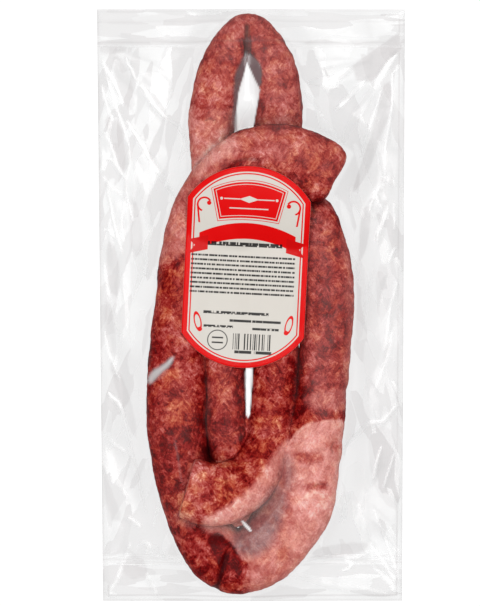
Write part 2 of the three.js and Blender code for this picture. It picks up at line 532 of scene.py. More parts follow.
@dataclass(frozen=True)
class SausageFinish:
    """Coarse smoked meat with fat under a thin natural casing, on one scale from dark lean to pale."""

    tones: Sequence[tuple[float, Colour]] = (
        (0.00, srgb(84, 2, 4)),
        (0.16, srgb(120, 6, 8)),
        (0.32, srgb(154, 37, 32)),
        (0.48, srgb(183, 75, 64)),
        (0.64, srgb(205, 117, 104)),
        (0.80, srgb(233, 158, 148)),
        (1.00, srgb(253, 222, 211)),
    )
    wet_tone: float = 0.382
    dry_gain: float = 0.345
    dark_loss: float = 0.15
    dry_calm: float = 0.45
    broad_swing: float = 0.84
    broad_calm: float = 0.40
    mince_swing: float = 0.46
    piece_swing: float = 0.13
    crumb_swing: float = 0.08
    streak_swing: float = 0.62
    grain_swing: float = 0.20
    hue_swing: float = 0.30
    sinew_gain: float = 0.12
    seam_loss: float = 0.14
    fleck_loss: float = 0.09
    fibre_leans: tuple[float, float] = (128.0, 58.0)
    fibre_stretch: float = 0.34
    cool: Colour = (1.00, 0.91, 1.03, 1.0)
    warm: Colour = (1.06, 0.97, 0.64, 1.0)
    # Painted shade: the colour laid into creases and crevices that lie in shadow.
    crevice_shade: Colour = srgb(42, 3, 7)

    def make(self) -> bpy.types.Material:
        """Builds the material.

        Returns:
            The material, which reads the mesh's dry, fatty, dark and crack numbers; the dark one carries lean
            meat and painted shade, the crack one painted shade in creases and crevices.
        """
        g = Graph("smoked_sausage")
        *axes, place = g.place()
        bent = g.bend(place, 6.0, 2.2)
        mince = g.noise(bent, 6.5, 6, 0.66)
        pieces = mince.ease(0.47, 0.53)
        crumbs = g.noise(bent, 2.5, 4, 0.65, 0.8).ease(0.44, 0.56)
        way = g.noise(place, 9.0, 1).ease(0.47, 0.53)
        left, right = (self.drawn_out(g, axes, lean) for lean in self.fibre_leans)
        streaks = self.either(way, g.noise(left, 1.9, 3, 0.62), g.noise(right, 1.9, 3, 0.62))
        sinew = self.either(way, g.noise(left, 4.2, 2, 0.6), g.noise(right, 4.2, 2, 0.6))
        strands = abs(sinew - 0.56).ease(0.034, 0.010)
        seams = abs(sinew - 0.45).ease(0.026, 0.008)
        flecks = g.noise(bent, 1.6, 2, 0.6, 0.5).ease(0.58, 0.65)
        grain = g.noise(place, 0.75, 1, 0.7)
        broad = g.noise(place, 22.0, 2, 0.6)
        hue = g.noise(bent, 8.0, 2)
        fatty, dark, dry = (g.attribute(n) for n in ("fatty", "dark", "dry"))
        texture = strands * self.sinew_gain - seams * self.seam_loss - flecks * self.fleck_loss
        for noise, swing in (
            (mince, self.mince_swing),
            (pieces, self.piece_swing),
            (crumbs, self.crumb_swing),
            (streaks, self.streak_swing),
            (grain, self.grain_swing),
            (hue, self.hue_swing),
        ):
            texture = texture + (noise - 0.5) * swing
        # Painted shade: the dark number, which holds lean meat and shaded places, lowers the tone.
        tone = self.wet_tone + dry * self.dry_gain - dark * self.dark_loss
        tone = tone + (broad - 0.5) * (self.broad_swing - self.broad_calm * dry)
        tone = tone + texture * (1.0 - self.dry_calm * dry)
        colour = g.add("ValToRGB", {"stops": self.tones}, {0: tone}).outputs["Color"]
        warm = (hue.ease(0.40, 0.68) * 0.75 + fatty * (0.2 + 0.8 * pieces)).clamp()
        warm = warm * (1.0 - 0.7 * dry) + 0.25 * dry
        tint = g.mix(warm, self.cool, self.warm)
        colour = g.vector("MULTIPLY", {0: colour, 1: tint})
        # Painted shade: creases and crevices take the dark crevice colour.
        colour = g.mix(g.attribute("crevice_shade").clamp(), colour, self.crevice_shade)
        relief = mince * 0.7 + crumbs * 0.2 + grain * 0.15
        shader = g.add(
            "BsdfPrincipled",
            sockets={
                "Base Color": colour,
                "Roughness": 0.40 + 0.25 * mince,
                "Specular IOR Level": 0.05,
                "Subsurface Weight": 0.08,
                "Subsurface Radius": (1.0, 0.25, 0.15),
                "Subsurface Scale": 1.5 * MM,
                "Normal": g.bump(relief, 0.6, 0.8 * MM),
            },
        )
        return g.finish(shader.outputs["BSDF"])

    def drawn_out(self, g: Graph, place: Sequence[Value], lean: float) -> bpy.types.NodeSocket:
        """Places for noise that is drawn out one way, as the meat's fibres are.

        Args:
            g: the meat's tree.
            place: place on the rope in millimetres.
            lean: the fibres' direction in plan, in degrees from +X.

        Returns:
            The places.
        """
        x, y, z = place
        cos, sin = math.cos(math.radians(lean)), math.sin(math.radians(lean))
        along = (x * cos + y * sin) * self.fibre_stretch
        return g.bend(g.point(along, y * cos - x * sin, z), 5.0, 1.8)

    def either(self, way: Value, first: Value, second: Value) -> Value:
        """The first number where way is 0 and the second where it is 1."""
        return first + (second - first) * way


@dataclass(frozen=True)
class FilmFinish:
    """Clear film that shows by its gloss, its creases and where it stands off the meat, with glints and grey
    facets painted into its colour.
    """

    clear: Colour = (0.930, 0.930, 0.930, 1.0)
    white: Colour = srgb(228, 228, 228)
    misty: Colour = srgb(248, 214, 208)
    # Colour of the painted shade, the grey facets and the film's edge and weld lines.
    grey: Colour = srgb(104, 80, 82)
    gloss: float = 0.18
    # How strongly the painted glints and white patches glow, though the film is no lamp.
    glint: float = 0.10
    mirror_tight: float = 0.06
    mirror_loose: float = 0.24
    mirror_most: float = 0.025
    grey_steps: Sequence[tuple[float, float]] = ((0.23, 0.04), (0.45, 0.03))
    white_steps: Sequence[tuple[float, float]] = ((0.71, 0.14), (0.89, 0.20))
    step_edge: float = 0.01
    seal_height: float = 168.0
    foot_height: float = -165.0

    def make(self, name: str, creased: float) -> bpy.types.Material:
        """Builds the material.

        Args:
            name: the material's name.
            creased: how strongly its facets show.

        Returns:
            The material, which reads the mesh's haze, shine, shade and loose numbers; shine is painted glints
            and white, shade mostly painted shade.
        """
        g = Graph(name)
        x, y, _, place = g.place()
        haze, shine, shade, loose = (g.attribute(n) for n in ("haze", "shine", "shade", "loose"))
        cloud = g.noise(place, 13.0, 4, 0.5, 0.8)
        facets = self.facets(g, x, y)
        smoke = haze * (0.3 + 1.4 * cloud)
        # Painted reflections: facets past the grey steps are painted grey and those past the white steps
        # white, as if they mirrored dim and bright surroundings.
        grey = shade + self.stepped(facets, self.grey_steps, -self.step_edge) * loose * creased
        white = shine + self.stepped(facets, self.white_steps, self.step_edge) * loose * creased
        edge_on = g.value("Fresnel", "Fac", None, {"IOR": 1.4})
        mirror = (edge_on * (self.mirror_tight + self.mirror_loose * loose)).least(self.mirror_most)
        body = (smoke + grey + white).most(0.0001)
        colour = g.mix((smoke / body).clamp(), self.white, self.misty)
        colour = g.mix((grey / body).clamp(), colour, self.grey)
        skin = g.add(
            "BsdfPrincipled",
            sockets={
                "Base Color": colour,
                "Metallic": mirror / (body + mirror),
                "Roughness": self.gloss + 0.1 * cloud,
                # Painted glints: the white share glows.
                "Emission Color": g.mix((white / body).clamp(), (0.0, 0.0, 0.0, 1.0), self.white),
                "Emission Strength": self.glint,
                "Normal": g.bump(g.noise(place, 2.6, 2, 0.5, 0.3), 0.10, 0.3 * MM),
            },
        )
        clear = g.add("BsdfTransparent", sockets={"Color": self.clear})
        shown = (body + mirror).clamp()
        blend = g.add("MixShader", sockets={0: shown, 1: clear.outputs[0], 2: skin.outputs[0]})
        return g.finish(blend.outputs[0])

    def stepped(self, tone: Value, steps: Sequence[tuple[float, float]], edge: float) -> Value:
        """Adds up steps of a tone.

        Args:
            tone: the tone.
            steps: where each step lies and how much it adds.
            edge: half of a step's width, below 0 for steps that add under their place.

        Returns:
            The sum.
        """
        (first, gain), (second, further) = steps
        lower, upper = (tone.ease(step - edge, step + edge) for step in (first, second))
        return lower * gain + upper * further

    def facets(self, g: Graph, x: Value, y: Value) -> Value:
        """A random tone for each flat facet, which picks facets painted grey or white as reflections: long
        ones down the sides, wide ones at the top and foot.

        Args:
            g: the film's tree.
            x: place across the pouch in millimetres.
            y: place along it.

        Returns:
            The tone, from 0 to 1.
        """
        side = x.ease(-0.5, 0.5) * 9.0
        ends = (y - self.seal_height).ease(-1.0, 1.0).most((y - self.foot_height).ease(4.0, -4.0))
        lean = abs(x) * 0.115 + y * 0.030
        across = lean * (1.0 - ends) + abs(x) * 0.025 * ends
        along = y * 0.038 * (1.0 - ends) + y * 0.16 * ends
        bent = g.bend(g.point(across + side, along, side + ends * 5.0), 1.1, 0.22)
        cells = g.add("TexVoronoi", {"distance": "MANHATTAN"}, {"Vector": bent, "Scale": 1.0})
        return g.value("SeparateColor", "Red", None, {0: cells.outputs["Color"]})


# Sausage


@dataclass
class Strand:
    """A stretch of rope along a route seen from above.

    Each row holds x, y, half width, underside and thickness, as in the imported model.
    """

    rows: Sequence[tuple[float, float, float, float, float]]
    start_size: float
    end_size: float
    step: float = 1.5
    sides: int = 72
    squareness: float = 2.35
    round_length: float = 9.0
    lift: float = 0.5
    fullness: float = 0.8
    cut_round: float = 0.0
    stations: np.ndarray = field(init=False)
    places: np.ndarray = field(init=False)

    def __post_init__(self) -> None:
        """Samples the route evenly."""
        rows = np.asarray(self.rows, float)
        knots = np.concatenate(([0], np.cumsum(np.hypot(*np.diff(rows[:, :2], axis=0).T))))
        slopes = np.gradient(rows, knots, axis=0)
        places = np.linspace(0, knots[-1], int(knots[-1] / self.step) + 1)
        span = np.clip(np.searchsorted(knots, places, side="right") - 1, 0, len(knots) - 2)
        width = (knots[span + 1] - knots[span])[:, None]
        t = ((places - knots[span]) / width[:, 0])[:, None]
        self.stations = (
            (2 * t**3 - 3 * t**2 + 1) * rows[span]
            + (t**3 - 2 * t**2 + t) * width * slopes[span]
            + (3 * t**2 - 2 * t**3) * rows[span + 1]
            + (t**3 - t**2) * width * slopes[span + 1]
        )
        self.places = places

    def tube(self) -> tuple[np.ndarray, np.ndarray]:
        """The stretch as a closed tube.

        Returns:
            Its points in millimetres and its three-cornered faces.
        """
        x, y, half_width, underside, thickness = self.stations.T
        half_width = half_width + self.fullness
        along = np.gradient(np.column_stack((x, y)), axis=0)
        along /= np.hypot(*along.T)[:, None]
        side = np.column_stack((along[:, 1], -along[:, 0]))
        from_start = ease(self.places, 0, self.round_length)
        from_end = ease(self.places[-1] - self.places, 0, self.round_length)
        size = (self.start_size + (1 - self.start_size) * from_start) * (
            self.end_size + (1 - self.end_size) * from_end
        )
        if self.cut_round:
            short = np.clip(1 - self.places / self.cut_round, 0, 1)
            size = size - self.cut_round / half_width * (1 - np.sqrt(1 - short**2))
        angle = np.linspace(0, 2 * np.pi, self.sides, endpoint=False)
        across, up = (
            np.sign(v) * np.abs(v) ** (2 / self.squareness) for v in (np.cos(angle), np.sin(angle))
        )
        middle = np.column_stack((x, y, np.maximum(underside, 0) + self.lift + thickness / 2))
        rings = middle[:, None, :].repeat(self.sides, 1)
        rings[:, :, :2] += side[:, None, :] * (half_width * size)[:, None, None] * across[None, :, None]
        rings[:, :, 2] += (thickness / 2 * size)[:, None] * up[None, :]
        count = len(x)
        points = np.vstack((rings.reshape(-1, 3), middle[0], middle[-1]))
        first = (np.arange(count - 1)[:, None] * self.sides + np.arange(self.sides)[None, :]).ravel()
        turned = np.roll(np.arange(self.sides), -1)
        second = (np.arange(count - 1)[:, None] * self.sides + turned[None, :]).ravel()
        walls = np.vstack(
            (
                np.column_stack((first, second, second + self.sides)),
                np.column_stack((first, second + self.sides, first + self.sides)),
            )
        )
        ring, last = np.arange(self.sides), (count - 1) * self.sides
        start_cap = np.column_stack((turned, ring, np.full(self.sides, count * self.sides)))
        end_cap = np.column_stack((last + ring, last + turned, np.full(self.sides, count * self.sides + 1)))
        return points, np.vstack((walls, start_cap, end_cap))

    def outside(self, x: np.ndarray, y: np.ndarray) -> np.ndarray:
        """How far places in plan lie outside the stretch, negative under it.

        Args:
            x: places across the pack in millimetres.
            y: places along it.

        Returns:
            The distance in millimetres.
        """
        nearest = np.full(x.shape, 1e9)
        for station in self.stations[::2]:
            nearest = np.minimum(nearest, np.hypot(x - station[0], y - station[1]) - station[2])
        if not self.cut_round:
            return nearest
        (end_x, end_y, half_width), (next_x, next_y) = self.stations[0, :3], self.stations[1, :2]
        way = np.array((next_x - end_x, next_y - end_y)) / np.hypot(next_x - end_x, next_y - end_y)
        past = -((x - end_x) * way[0] + (y - end_y) * way[1])
        aside = np.abs((x - end_x) * way[1] - (y - end_y) * way[0])
        flat = np.hypot(np.maximum(aside - half_width, 0), past)
        return np.where((past > 0) & (np.hypot(past, aside) < 2 * half_width), flat, nearest)


@dataclass(frozen=True)
class Crease:
    """A furrow in the skin along a line of pixels, seen from above, with shade painted into it."""

    line: Points
    width: float
    depth: float
    dark: float


@dataclass
class SausageRope:
    """One rope, folded once: both stretches skinned as one body, then given its relief."""

    name: str
    strands: Sequence[Strand]
    creases: Sequence[Crease]
    lit: Sequence["Patch"]
    seed: int
    voxel: float = 0.95
    swell_height: float = 0.90
    wave_height: float = 0.45
    lump_height: float = 0.75
    crumb_height: float = 0.30
    grain_height: float = 0.14

    def skin(self) -> bpy.types.Mesh:
        """Both stretches joined under one even skin.

        Returns:
            The mesh, evenly divided.
        """
        points, faces, count = [], [], 0
        for strand in self.strands:
            tube_points, tube_faces = strand.tube()
            points.append(tube_points)
            faces.append(tube_faces + count)
            count += len(tube_points)
        core_name = self.name + "_core"
        core = new_piece(core_name, mesh_of(core_name, np.vstack(points), np.vstack(faces)))
        remesh = core.modifiers.new("skin", "REMESH")
        remesh.mode = "VOXEL"
        remesh.voxel_size = self.voxel * MM
        bpy.context.view_layer.update()
        skinned = bpy.data.meshes.new_from_object(core.evaluated_get(bpy.context.evaluated_depsgraph_get()))
        bpy.data.objects.remove(core)
        return skinned

    def relief(self, points: np.ndarray) -> np.ndarray:
        """Height of the uneven skin: slow swellings, lumps of mince and fine grain.

        Args:
            points: places on the skin in millimetres.

        Returns:
            The heights in millimetres.
        """
        bent = points + 2.5 * np.column_stack([smooth_noise(points, 9, self.seed + k) for k in range(3)])
        return (
            self.swell_height * smooth_noise(points, 26, self.seed + 3)
            + self.wave_height * smooth_noise(points, 8, self.seed + 4)
            + self.lump_height * (lump_noise(bent, 7.5, self.seed + 5) - 0.6)
            + self.crumb_height * (lump_noise(bent, 3.6, self.seed + 9) - 0.6)
            + self.grain_height * smooth_noise(points, 1.7, self.seed + 13)
        )

    def build(self, finish: bpy.types.Material) -> bpy.types.Object:
        """Builds the rope.

        Args:
            finish: its material.

        Returns:
            The rope, riding on the pack.
        """
        mesh = self.skin()
        mesh.name = self.name
        points, normals = read_points(mesh), read_points(mesh, "normal")
        height = self.relief(points)
        crevice_shade = np.zeros(len(points))
        facing = ease(normals[:, 2], -0.3, 0.2)
        for crease in self.creases:
            apart, share = line_distance(points[:, 0], points[:, 1], to_plan(crease.line))
            ends = ease(share, 0, 0.12) * ease(share, 1, 0.88)
            furrow = np.exp(-((apart / crease.width) ** 2)) * facing * (0.25 + 0.75 * ends)
            height -= crease.depth * furrow
            # Painted shade along each furrow.
            crevice_shade = np.maximum(crevice_shade, crease.dark * furrow**1.5)
        resting = ease(points[:, 2], 0.8, 3.0)
        points += normals * (height * (0.15 + 0.85 * resting))[:, None]
        points[:, 2] = np.maximum(points[:, 2], 0.35)
        mesh.vertices.foreach_set("co", (points * MM).astype(np.float32).ravel())
        x, y = points[:, 0], points[:, 1]
        add_values(mesh, "dry", dryness(x, y) * facing)
        add_values(mesh, "fatty", strongest(FATTY, x, y))
        # Dark number: lean meat and painted shade, minus pale meat and the painted light on lit cut walls.
        add_values(mesh, "dark", strongest(DARK, x, y) - strongest((*BRIGHT, *self.lit), x, y))
        add_values(mesh, "crevice_shade", crevice_shade)
        mesh.materials.append(finish)
        mesh.update()
        rope = new_piece(self.name, mesh)
        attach(rope, "root")
        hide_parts("bag")
        return rope


# What the photograph shows on the pack, in its pixels


@dataclass(frozen=True)
class Patch:
    """A patch with a fairly sharp edge: its corners are rounded off before it is used."""

    corners: Points
    strength: float = 1.0
    edge: float = 1.2
    ragged: float = 0.5
    rounding: int = 2

    def cover(self, x: np.ndarray, y: np.ndarray) -> np.ndarray:
        """How much of the patch lies over places in plan.

        Args:
            x: places across the pack in millimetres.
            y: places along it.

        Returns:
            The cover, from 0 to the patch's strength.
        """
        corners = np.asarray(self.corners, float)
        for _ in range(self.rounding):
            after = np.roll(corners, -1, axis=0)
            cut = (0.75 * corners + 0.25 * after, 0.25 * corners + 0.75 * after)
            corners = np.stack(cut, 1).reshape(-1, 2)
        flat = np.column_stack((x.ravel(), y.ravel(), np.zeros(x.size)))
        ragged = self.ragged * smooth_noise(flat, 2.6, 5).reshape(x.shape)
        inside = inside_distance(x, y, corners.tolist()) + ragged
        return self.strength * ease(inside, -self.edge / 2, self.edge / 2)


def facet(corners: Points, strength: float, edge: float = 2.0, rounding: int = 1) -> Patch:
    """A flat facet of film, with a straighter edge than a patch of meat."""
    return Patch(corners, strength, edge, 0.2, rounding)


@dataclass(frozen=True)
class Spot:
    """A soft round patch."""

    middle: tuple[float, float]
    radius: float
    strength: float = 1.0

    def cover(self, x: np.ndarray, y: np.ndarray) -> np.ndarray:
        """How much of the spot lies over places in plan."""
        cx, cy = to_plan([self.middle])[0]
        return self.strength * np.exp(-((x - cx) ** 2 + (y - cy) ** 2) / (self.radius * PIXEL) ** 2)


def strongest(covers: Sequence[Patch | Spot], x: np.ndarray, y: np.ndarray) -> np.ndarray:
    """The strongest of several patches at places in plan.

    Args:
        covers: the patches.
        x: places across the pack in millimetres.
        y: places along it.

    Returns:
        The strongest cover, 0 where there is none.
    """
    total = np.zeros(x.shape)
    for cover in covers:
        total = np.maximum(total, cover.cover(x, y))
    return total


# Where the film stands off the meat, which looks dry and pale there
DRY = (
    Patch(
        (
            (290, 437), (300, 425), (316, 419), (356, 417), (356, 604), (243, 604), (242, 580), (250, 562),
            (240, 556), (232, 540), (214, 528), (222, 520), (246, 518), (264, 494), (276, 468),
        ),
        1.05,
        1.4,
    ),
    Patch(
        (
            (150, 268), (164, 264), (186, 256), (190, 212), (206, 186), (226, 170), (244, 152), (246, 132),
            (205, 138), (185, 165), (150, 230),
        ),
        0.58,
        4.0,
    ),
    Patch(((188, 172), (204, 146), (228, 138), (240, 140), (234, 158), (214, 166), (200, 186)), 1.0, 6.0),
    Patch(((180, 108), (204, 104), (222, 112), (238, 108), (242, 138), (222, 152), (184, 194)), 0.66, 6.0),
    Patch(((300, 396), (318, 392), (354, 386), (354, 402), (340, 412), (326, 406), (309, 408)), 0.45, 4.0),
    Patch(
        (
            (206, 532), (200, 518), (220, 508), (242, 494), (260, 474), (278, 446), (290, 436), (292, 462),
            (272, 496), (250, 520), (226, 530),
        ),
        1.0,
        5.0,
    ),
    Patch(((150, 0), (350, 0), (360, 150), (340, 190), (290, 160), (200, 160), (150, 215)), 0.26, 14.0),
    Patch(((236, 128), (262, 126), (292, 132), (288, 142), (262, 140), (236, 166)), 0.34, 8.0),
    Patch(((172, 510), (186, 508), (198, 516), (196, 526), (178, 525)), 0.4, 3.0),
    Patch(((338, 225), (352, 250), (358, 340), (352, 385), (341, 385), (347, 330), (343, 270)), 0.42, 5.0),
)
# Where the film touches the meat again inside those
WET = (
    Patch(((292, 452), (308, 450), (324, 453), (322, 461), (300, 463)), 0.6, 4.0),
    Patch(((298, 483), (314, 480), (330, 481), (328, 488), (306, 490)), 0.55, 4.0),
    Patch(((322, 440), (340, 442), (338, 450), (324, 448)), 0.4, 4.0),
    Patch(((276, 545), (290, 546), (292, 560), (276, 562)), 0.4, 5.0),
    Patch(((196, 100), (206, 98), (212, 112), (204, 122), (194, 118)), 0.6, 5.0),
    Patch(((238, 556), (262, 556), (300, 548), (316, 570), (270, 600), (236, 600)), 0.28, 6.0),
    Patch(((236, 560), (251, 560), (250, 600), (236, 600)), 0.7, 3.0),
    Patch(
        (
            (286, 452), (296, 466), (296, 500), (286, 530), (268, 552), (248, 556), (238, 546), (232, 534),
            (246, 522), (262, 503), (276, 480),
        ),
        0.45,
        12.0,
    ),
)
# Painted shade: grey laid on the film over the deep gap beside the upper cut end and along the hairpin's
# inner sides, where the meat lies in shadow
GAP_SHADE = (
    Patch(
        (
            (276, 480), (284, 486), (286, 500), (280, 524), (268, 546), (250, 556), (238, 548), (232, 534),
            (246, 522), (262, 503),
        ),
        1.0,
        9.0,
    ),
    Patch(((284, 452), (294, 462), (292, 492), (276, 486)), 0.6, 8.0),
    Patch(
        ((247, 52), (247, 72), (240, 96), (239, 134), (233, 134), (234, 96), (235, 76), (242, 62)),
        2.4,
        2.6,
        0.3,
        1,
    ),
    Patch(((247, 54), (257, 62), (261.5, 72), (261, 88), (255, 86), (247, 70)), 2.9, 1.8, 0.3, 1),
)
# Where the film over the meat dulls it
VEIL = (
    Patch(((304, 200), (340, 225), (352, 300), (346, 420), (306, 420), (304, 300)), 0.040, 10.0),
    Patch(
        ((205, 0), (290, 0), (298, 60), (300, 136), (262, 140), (262, 80), (240, 60), (205, 60)),
        0.034,
        14.0,
    ),
    Patch(((240, 132), (300, 132), (345, 150), (330, 205), (240, 170)), 0.014, 8.0),
    Patch(((206, 366), (246, 366), (244, 450), (206, 450)), 0.018, 8.0),
    Patch(((150, 380), (200, 380), (200, 540), (160, 540)), 0.014, 8.0),
)
# Orange fat under the casing
FATTY = (
    Spot((168, 288), 22), Spot((170, 378), 11), Spot((184, 412), 17), Spot((185, 508), 10, 1.6),
    Spot((270, 412), 17, 0.6), Spot((312, 160), 18, 0.7), Spot((210, 70), 12, 0.6), Spot((283, 552), 9, 1.0),
    Spot((228, 478), 20, 0.7), Spot((216, 122), 10, 0.6), Spot((330, 250), 14, 0.5),
    Spot((220, 383), 10, 0.6), Spot((262, 452), 14, 0.5), Spot((202, 50), 16, 0.4),
)
# Lean meat, and painted shade where the meat lies in shadow
DARK = (
    Spot((226, 548), 15, 1.5), Spot((168, 458), 15, 0.9), Spot((196, 360), 9, 0.9), Spot((213, 480), 7, 0.8),
    Spot((226, 166), 8, 1.2), Spot((244, 164), 8, 1.0), Spot((308, 165), 6, 0.8), Spot((328, 170), 5, 0.8),
    Spot((305, 184), 7, 1.0), Spot((305, 398), 10, 0.7), Spot((288, 412), 9, 0.7), Spot((222, 430), 12, 0.6),
    Spot((212, 575), 14, 0.8), Spot((246, 44), 7, 0.8), Spot((207, 112), 6, 0.7), Spot((160, 345), 10, 0.5),
    Spot((170, 285), 18, 0.5), Spot((205, 570), 10, 0.8), Spot((214, 452), 11, 1.0), Spot((340, 300), 8, 0.6),
    Patch(((198, 366), (209, 366), (210, 420), (207, 464), (201, 462), (198, 420)), 0.55, 7.0),
    Patch(((291, 366), (303, 366), (303, 400), (298, 424), (291, 430), (292, 400)), 0.8, 7.0),
    Patch(((236, 368), (243, 368), (245, 430), (240, 446), (236, 420)), 0.9, 4.0),
    Patch(
        (
            (176, 436), (200, 436), (212, 446), (230, 450), (226, 459), (206, 459), (193, 452), (184, 474),
            (174, 456),
        ),
        1.0,
        6.0,
    ),
    Patch(((306, 205), (340, 225), (344, 300), (338, 385), (308, 385), (304, 300)), 0.3, 8.0),
    Patch(((256, 368), (290, 368), (290, 430), (262, 436)), 0.35, 8.0),
    Patch(((154, 385), (186, 392), (186, 440), (156, 440)), 0.45, 8.0),
    Patch(((244, 140), (292, 138), (300, 164), (246, 164)), 0.3, 8.0),
    Patch(((206, 530), (224, 529), (242, 552), (240, 570), (222, 568), (214, 552)), 2.3, 6.0),
    Spot((242, 540), 12, 1.2), Spot((241, 70), 7, 1.0), Spot((258, 70), 6, 1.2), Spot((254, 58), 6, 0.7),
    Spot((268, 522), 14, 0.6),
    Patch(((164, 484), (186, 484), (190, 530), (172, 530)), 0.5, 6.0),
    Patch(((172, 446), (190, 452), (184, 476), (176, 500), (176, 520), (164, 508), (166, 474)), 1.1, 6.0),
    Patch(((176, 516), (192, 523), (214, 531), (206, 540), (184, 534)), 1.0, 5.0),
)
# Cut ends, whose walls stay lit
CUT_WALLS = (
    Patch(((170, 514), (190, 454), (206, 456), (196, 490), (192, 520), (176, 524)), 1.0, 3.0),
    Patch(((334, 136), (350, 148), (344, 178), (328, 206), (320, 198), (332, 170)), 0.6, 3.0),
)
# Painted light: openings between the ropes, where the film over the shaded table is painted white
OPENINGS = (
    Patch(
        ((247, 64.5), (238.2, 95), (237, 113), (237.4, 132.6), (253.6, 127.8), (259.8, 91.7)),
        0.86,
        0.8,
        0.1,
        0,
    ),
    Patch(
        ((245, 358), (253.4, 358), (252.2, 380), (250.2, 412), (248, 418), (245.8, 412)), 0.86, 0.8, 0.1, 1
    ),
    Patch(((240.5, 517.5), (243.5, 518), (252, 528), (250.5, 530), (244.5, 524)), 0.95, 0.7, 0.1, 1),
)
# Pale places in the wet meat
BRIGHT = (
    Spot((224, 480), 24, 1.1), Spot((208, 500), 15, 1.0), Spot((256, 462), 16, 0.6),
    Spot((216, 146), 22, 0.5), Spot((320, 500), 22, 0.4), Spot((203, 82), 18, 0.3),
    Spot((168, 300), 16, 0.4), Spot((186, 505), 8, 1.2),
    Spot((228, 400), 10, 0.5), Spot((268, 400), 12, 0.4), Spot((300, 240), 12, 0.3), Spot((259, 120), 8, 1.2),
    Patch(((236, 480), (242, 481), (243, 492), (238, 501), (234, 497)), 1.2, 2.0, 0.3, 1),
)
# Painted light on the lit wall and face of the lower cut end, on the inner rope alone
CUT_RIM = (
    Patch(((188, 454), (196, 456), (181, 498), (180, 509), (174, 509), (172, 500)), 1.7, 1.2, 0.3, 1),
    Patch(((194, 455), (212, 461), (236, 456), (228, 476), (204, 484), (188, 478)), 1.4, 5.0),
    Patch(((186, 474), (224, 470), (226, 496), (206, 516), (180, 512), (176, 500)), 1.35, 5.0),
)


def dryness(x: np.ndarray, y: np.ndarray) -> np.ndarray:
    """How pale the meat looks at places in plan, where the film stands off it."""
    return strongest(DRY, x, y) * (1 - strongest(WET, x, y))


# Pouch


class Sheet(Enum):
    """The two films of the pouch."""

    FRONT = "film_front"
    BACK = "film_back"


@dataclass(frozen=True)
class Fan:
    """Folds of the film that spread from one line of pixels to another."""

    start: Points
    end: Points
    count: int
    height: float
    width: float
    bow: float = 0.0


@dataclass(frozen=True)
class Blade:
    """A fold with a long painted glint on it, pointed at both ends."""

    line: Points
    width: float
    strength: float = 1.0


FANS = (
    Fan(((99, 46), (103, 72)), ((186, 90), (170, 212)), 7, 0.8, 1.5, 3.0),
    Fan(((401, 46), (400, 76)), ((306, 96), (352, 230)), 8, 0.8, 1.5, -3.0),
    Fan(((103, 80), (105, 330)), ((140, 330), (134, 500)), 9, 0.7, 1.4, 4.0),
    Fan(((400, 70), (400, 330)), ((360, 210), (352, 440)), 10, 0.8, 1.4, -4.0),
    Fan(((104, 120), (124, 130)), ((112, 420), (134, 400)), 5, 0.6, 1.2, 4.0),
    Fan(((396, 100), (376, 120)), ((394, 420), (368, 400)), 5, 0.6, 1.2, -4.0),
    Fan(((302, 60), (306, 96)), ((392, 52), (352, 92)), 4, 0.9, 2.4, 4.0),
    Fan(((104, 470), (106, 596)), ((160, 500), (205, 588)), 6, 0.7, 1.6, 3.0),
    Fan(((399, 520), (398, 596)), ((348, 455), (300, 590)), 7, 0.8, 1.5, -3.0),
)
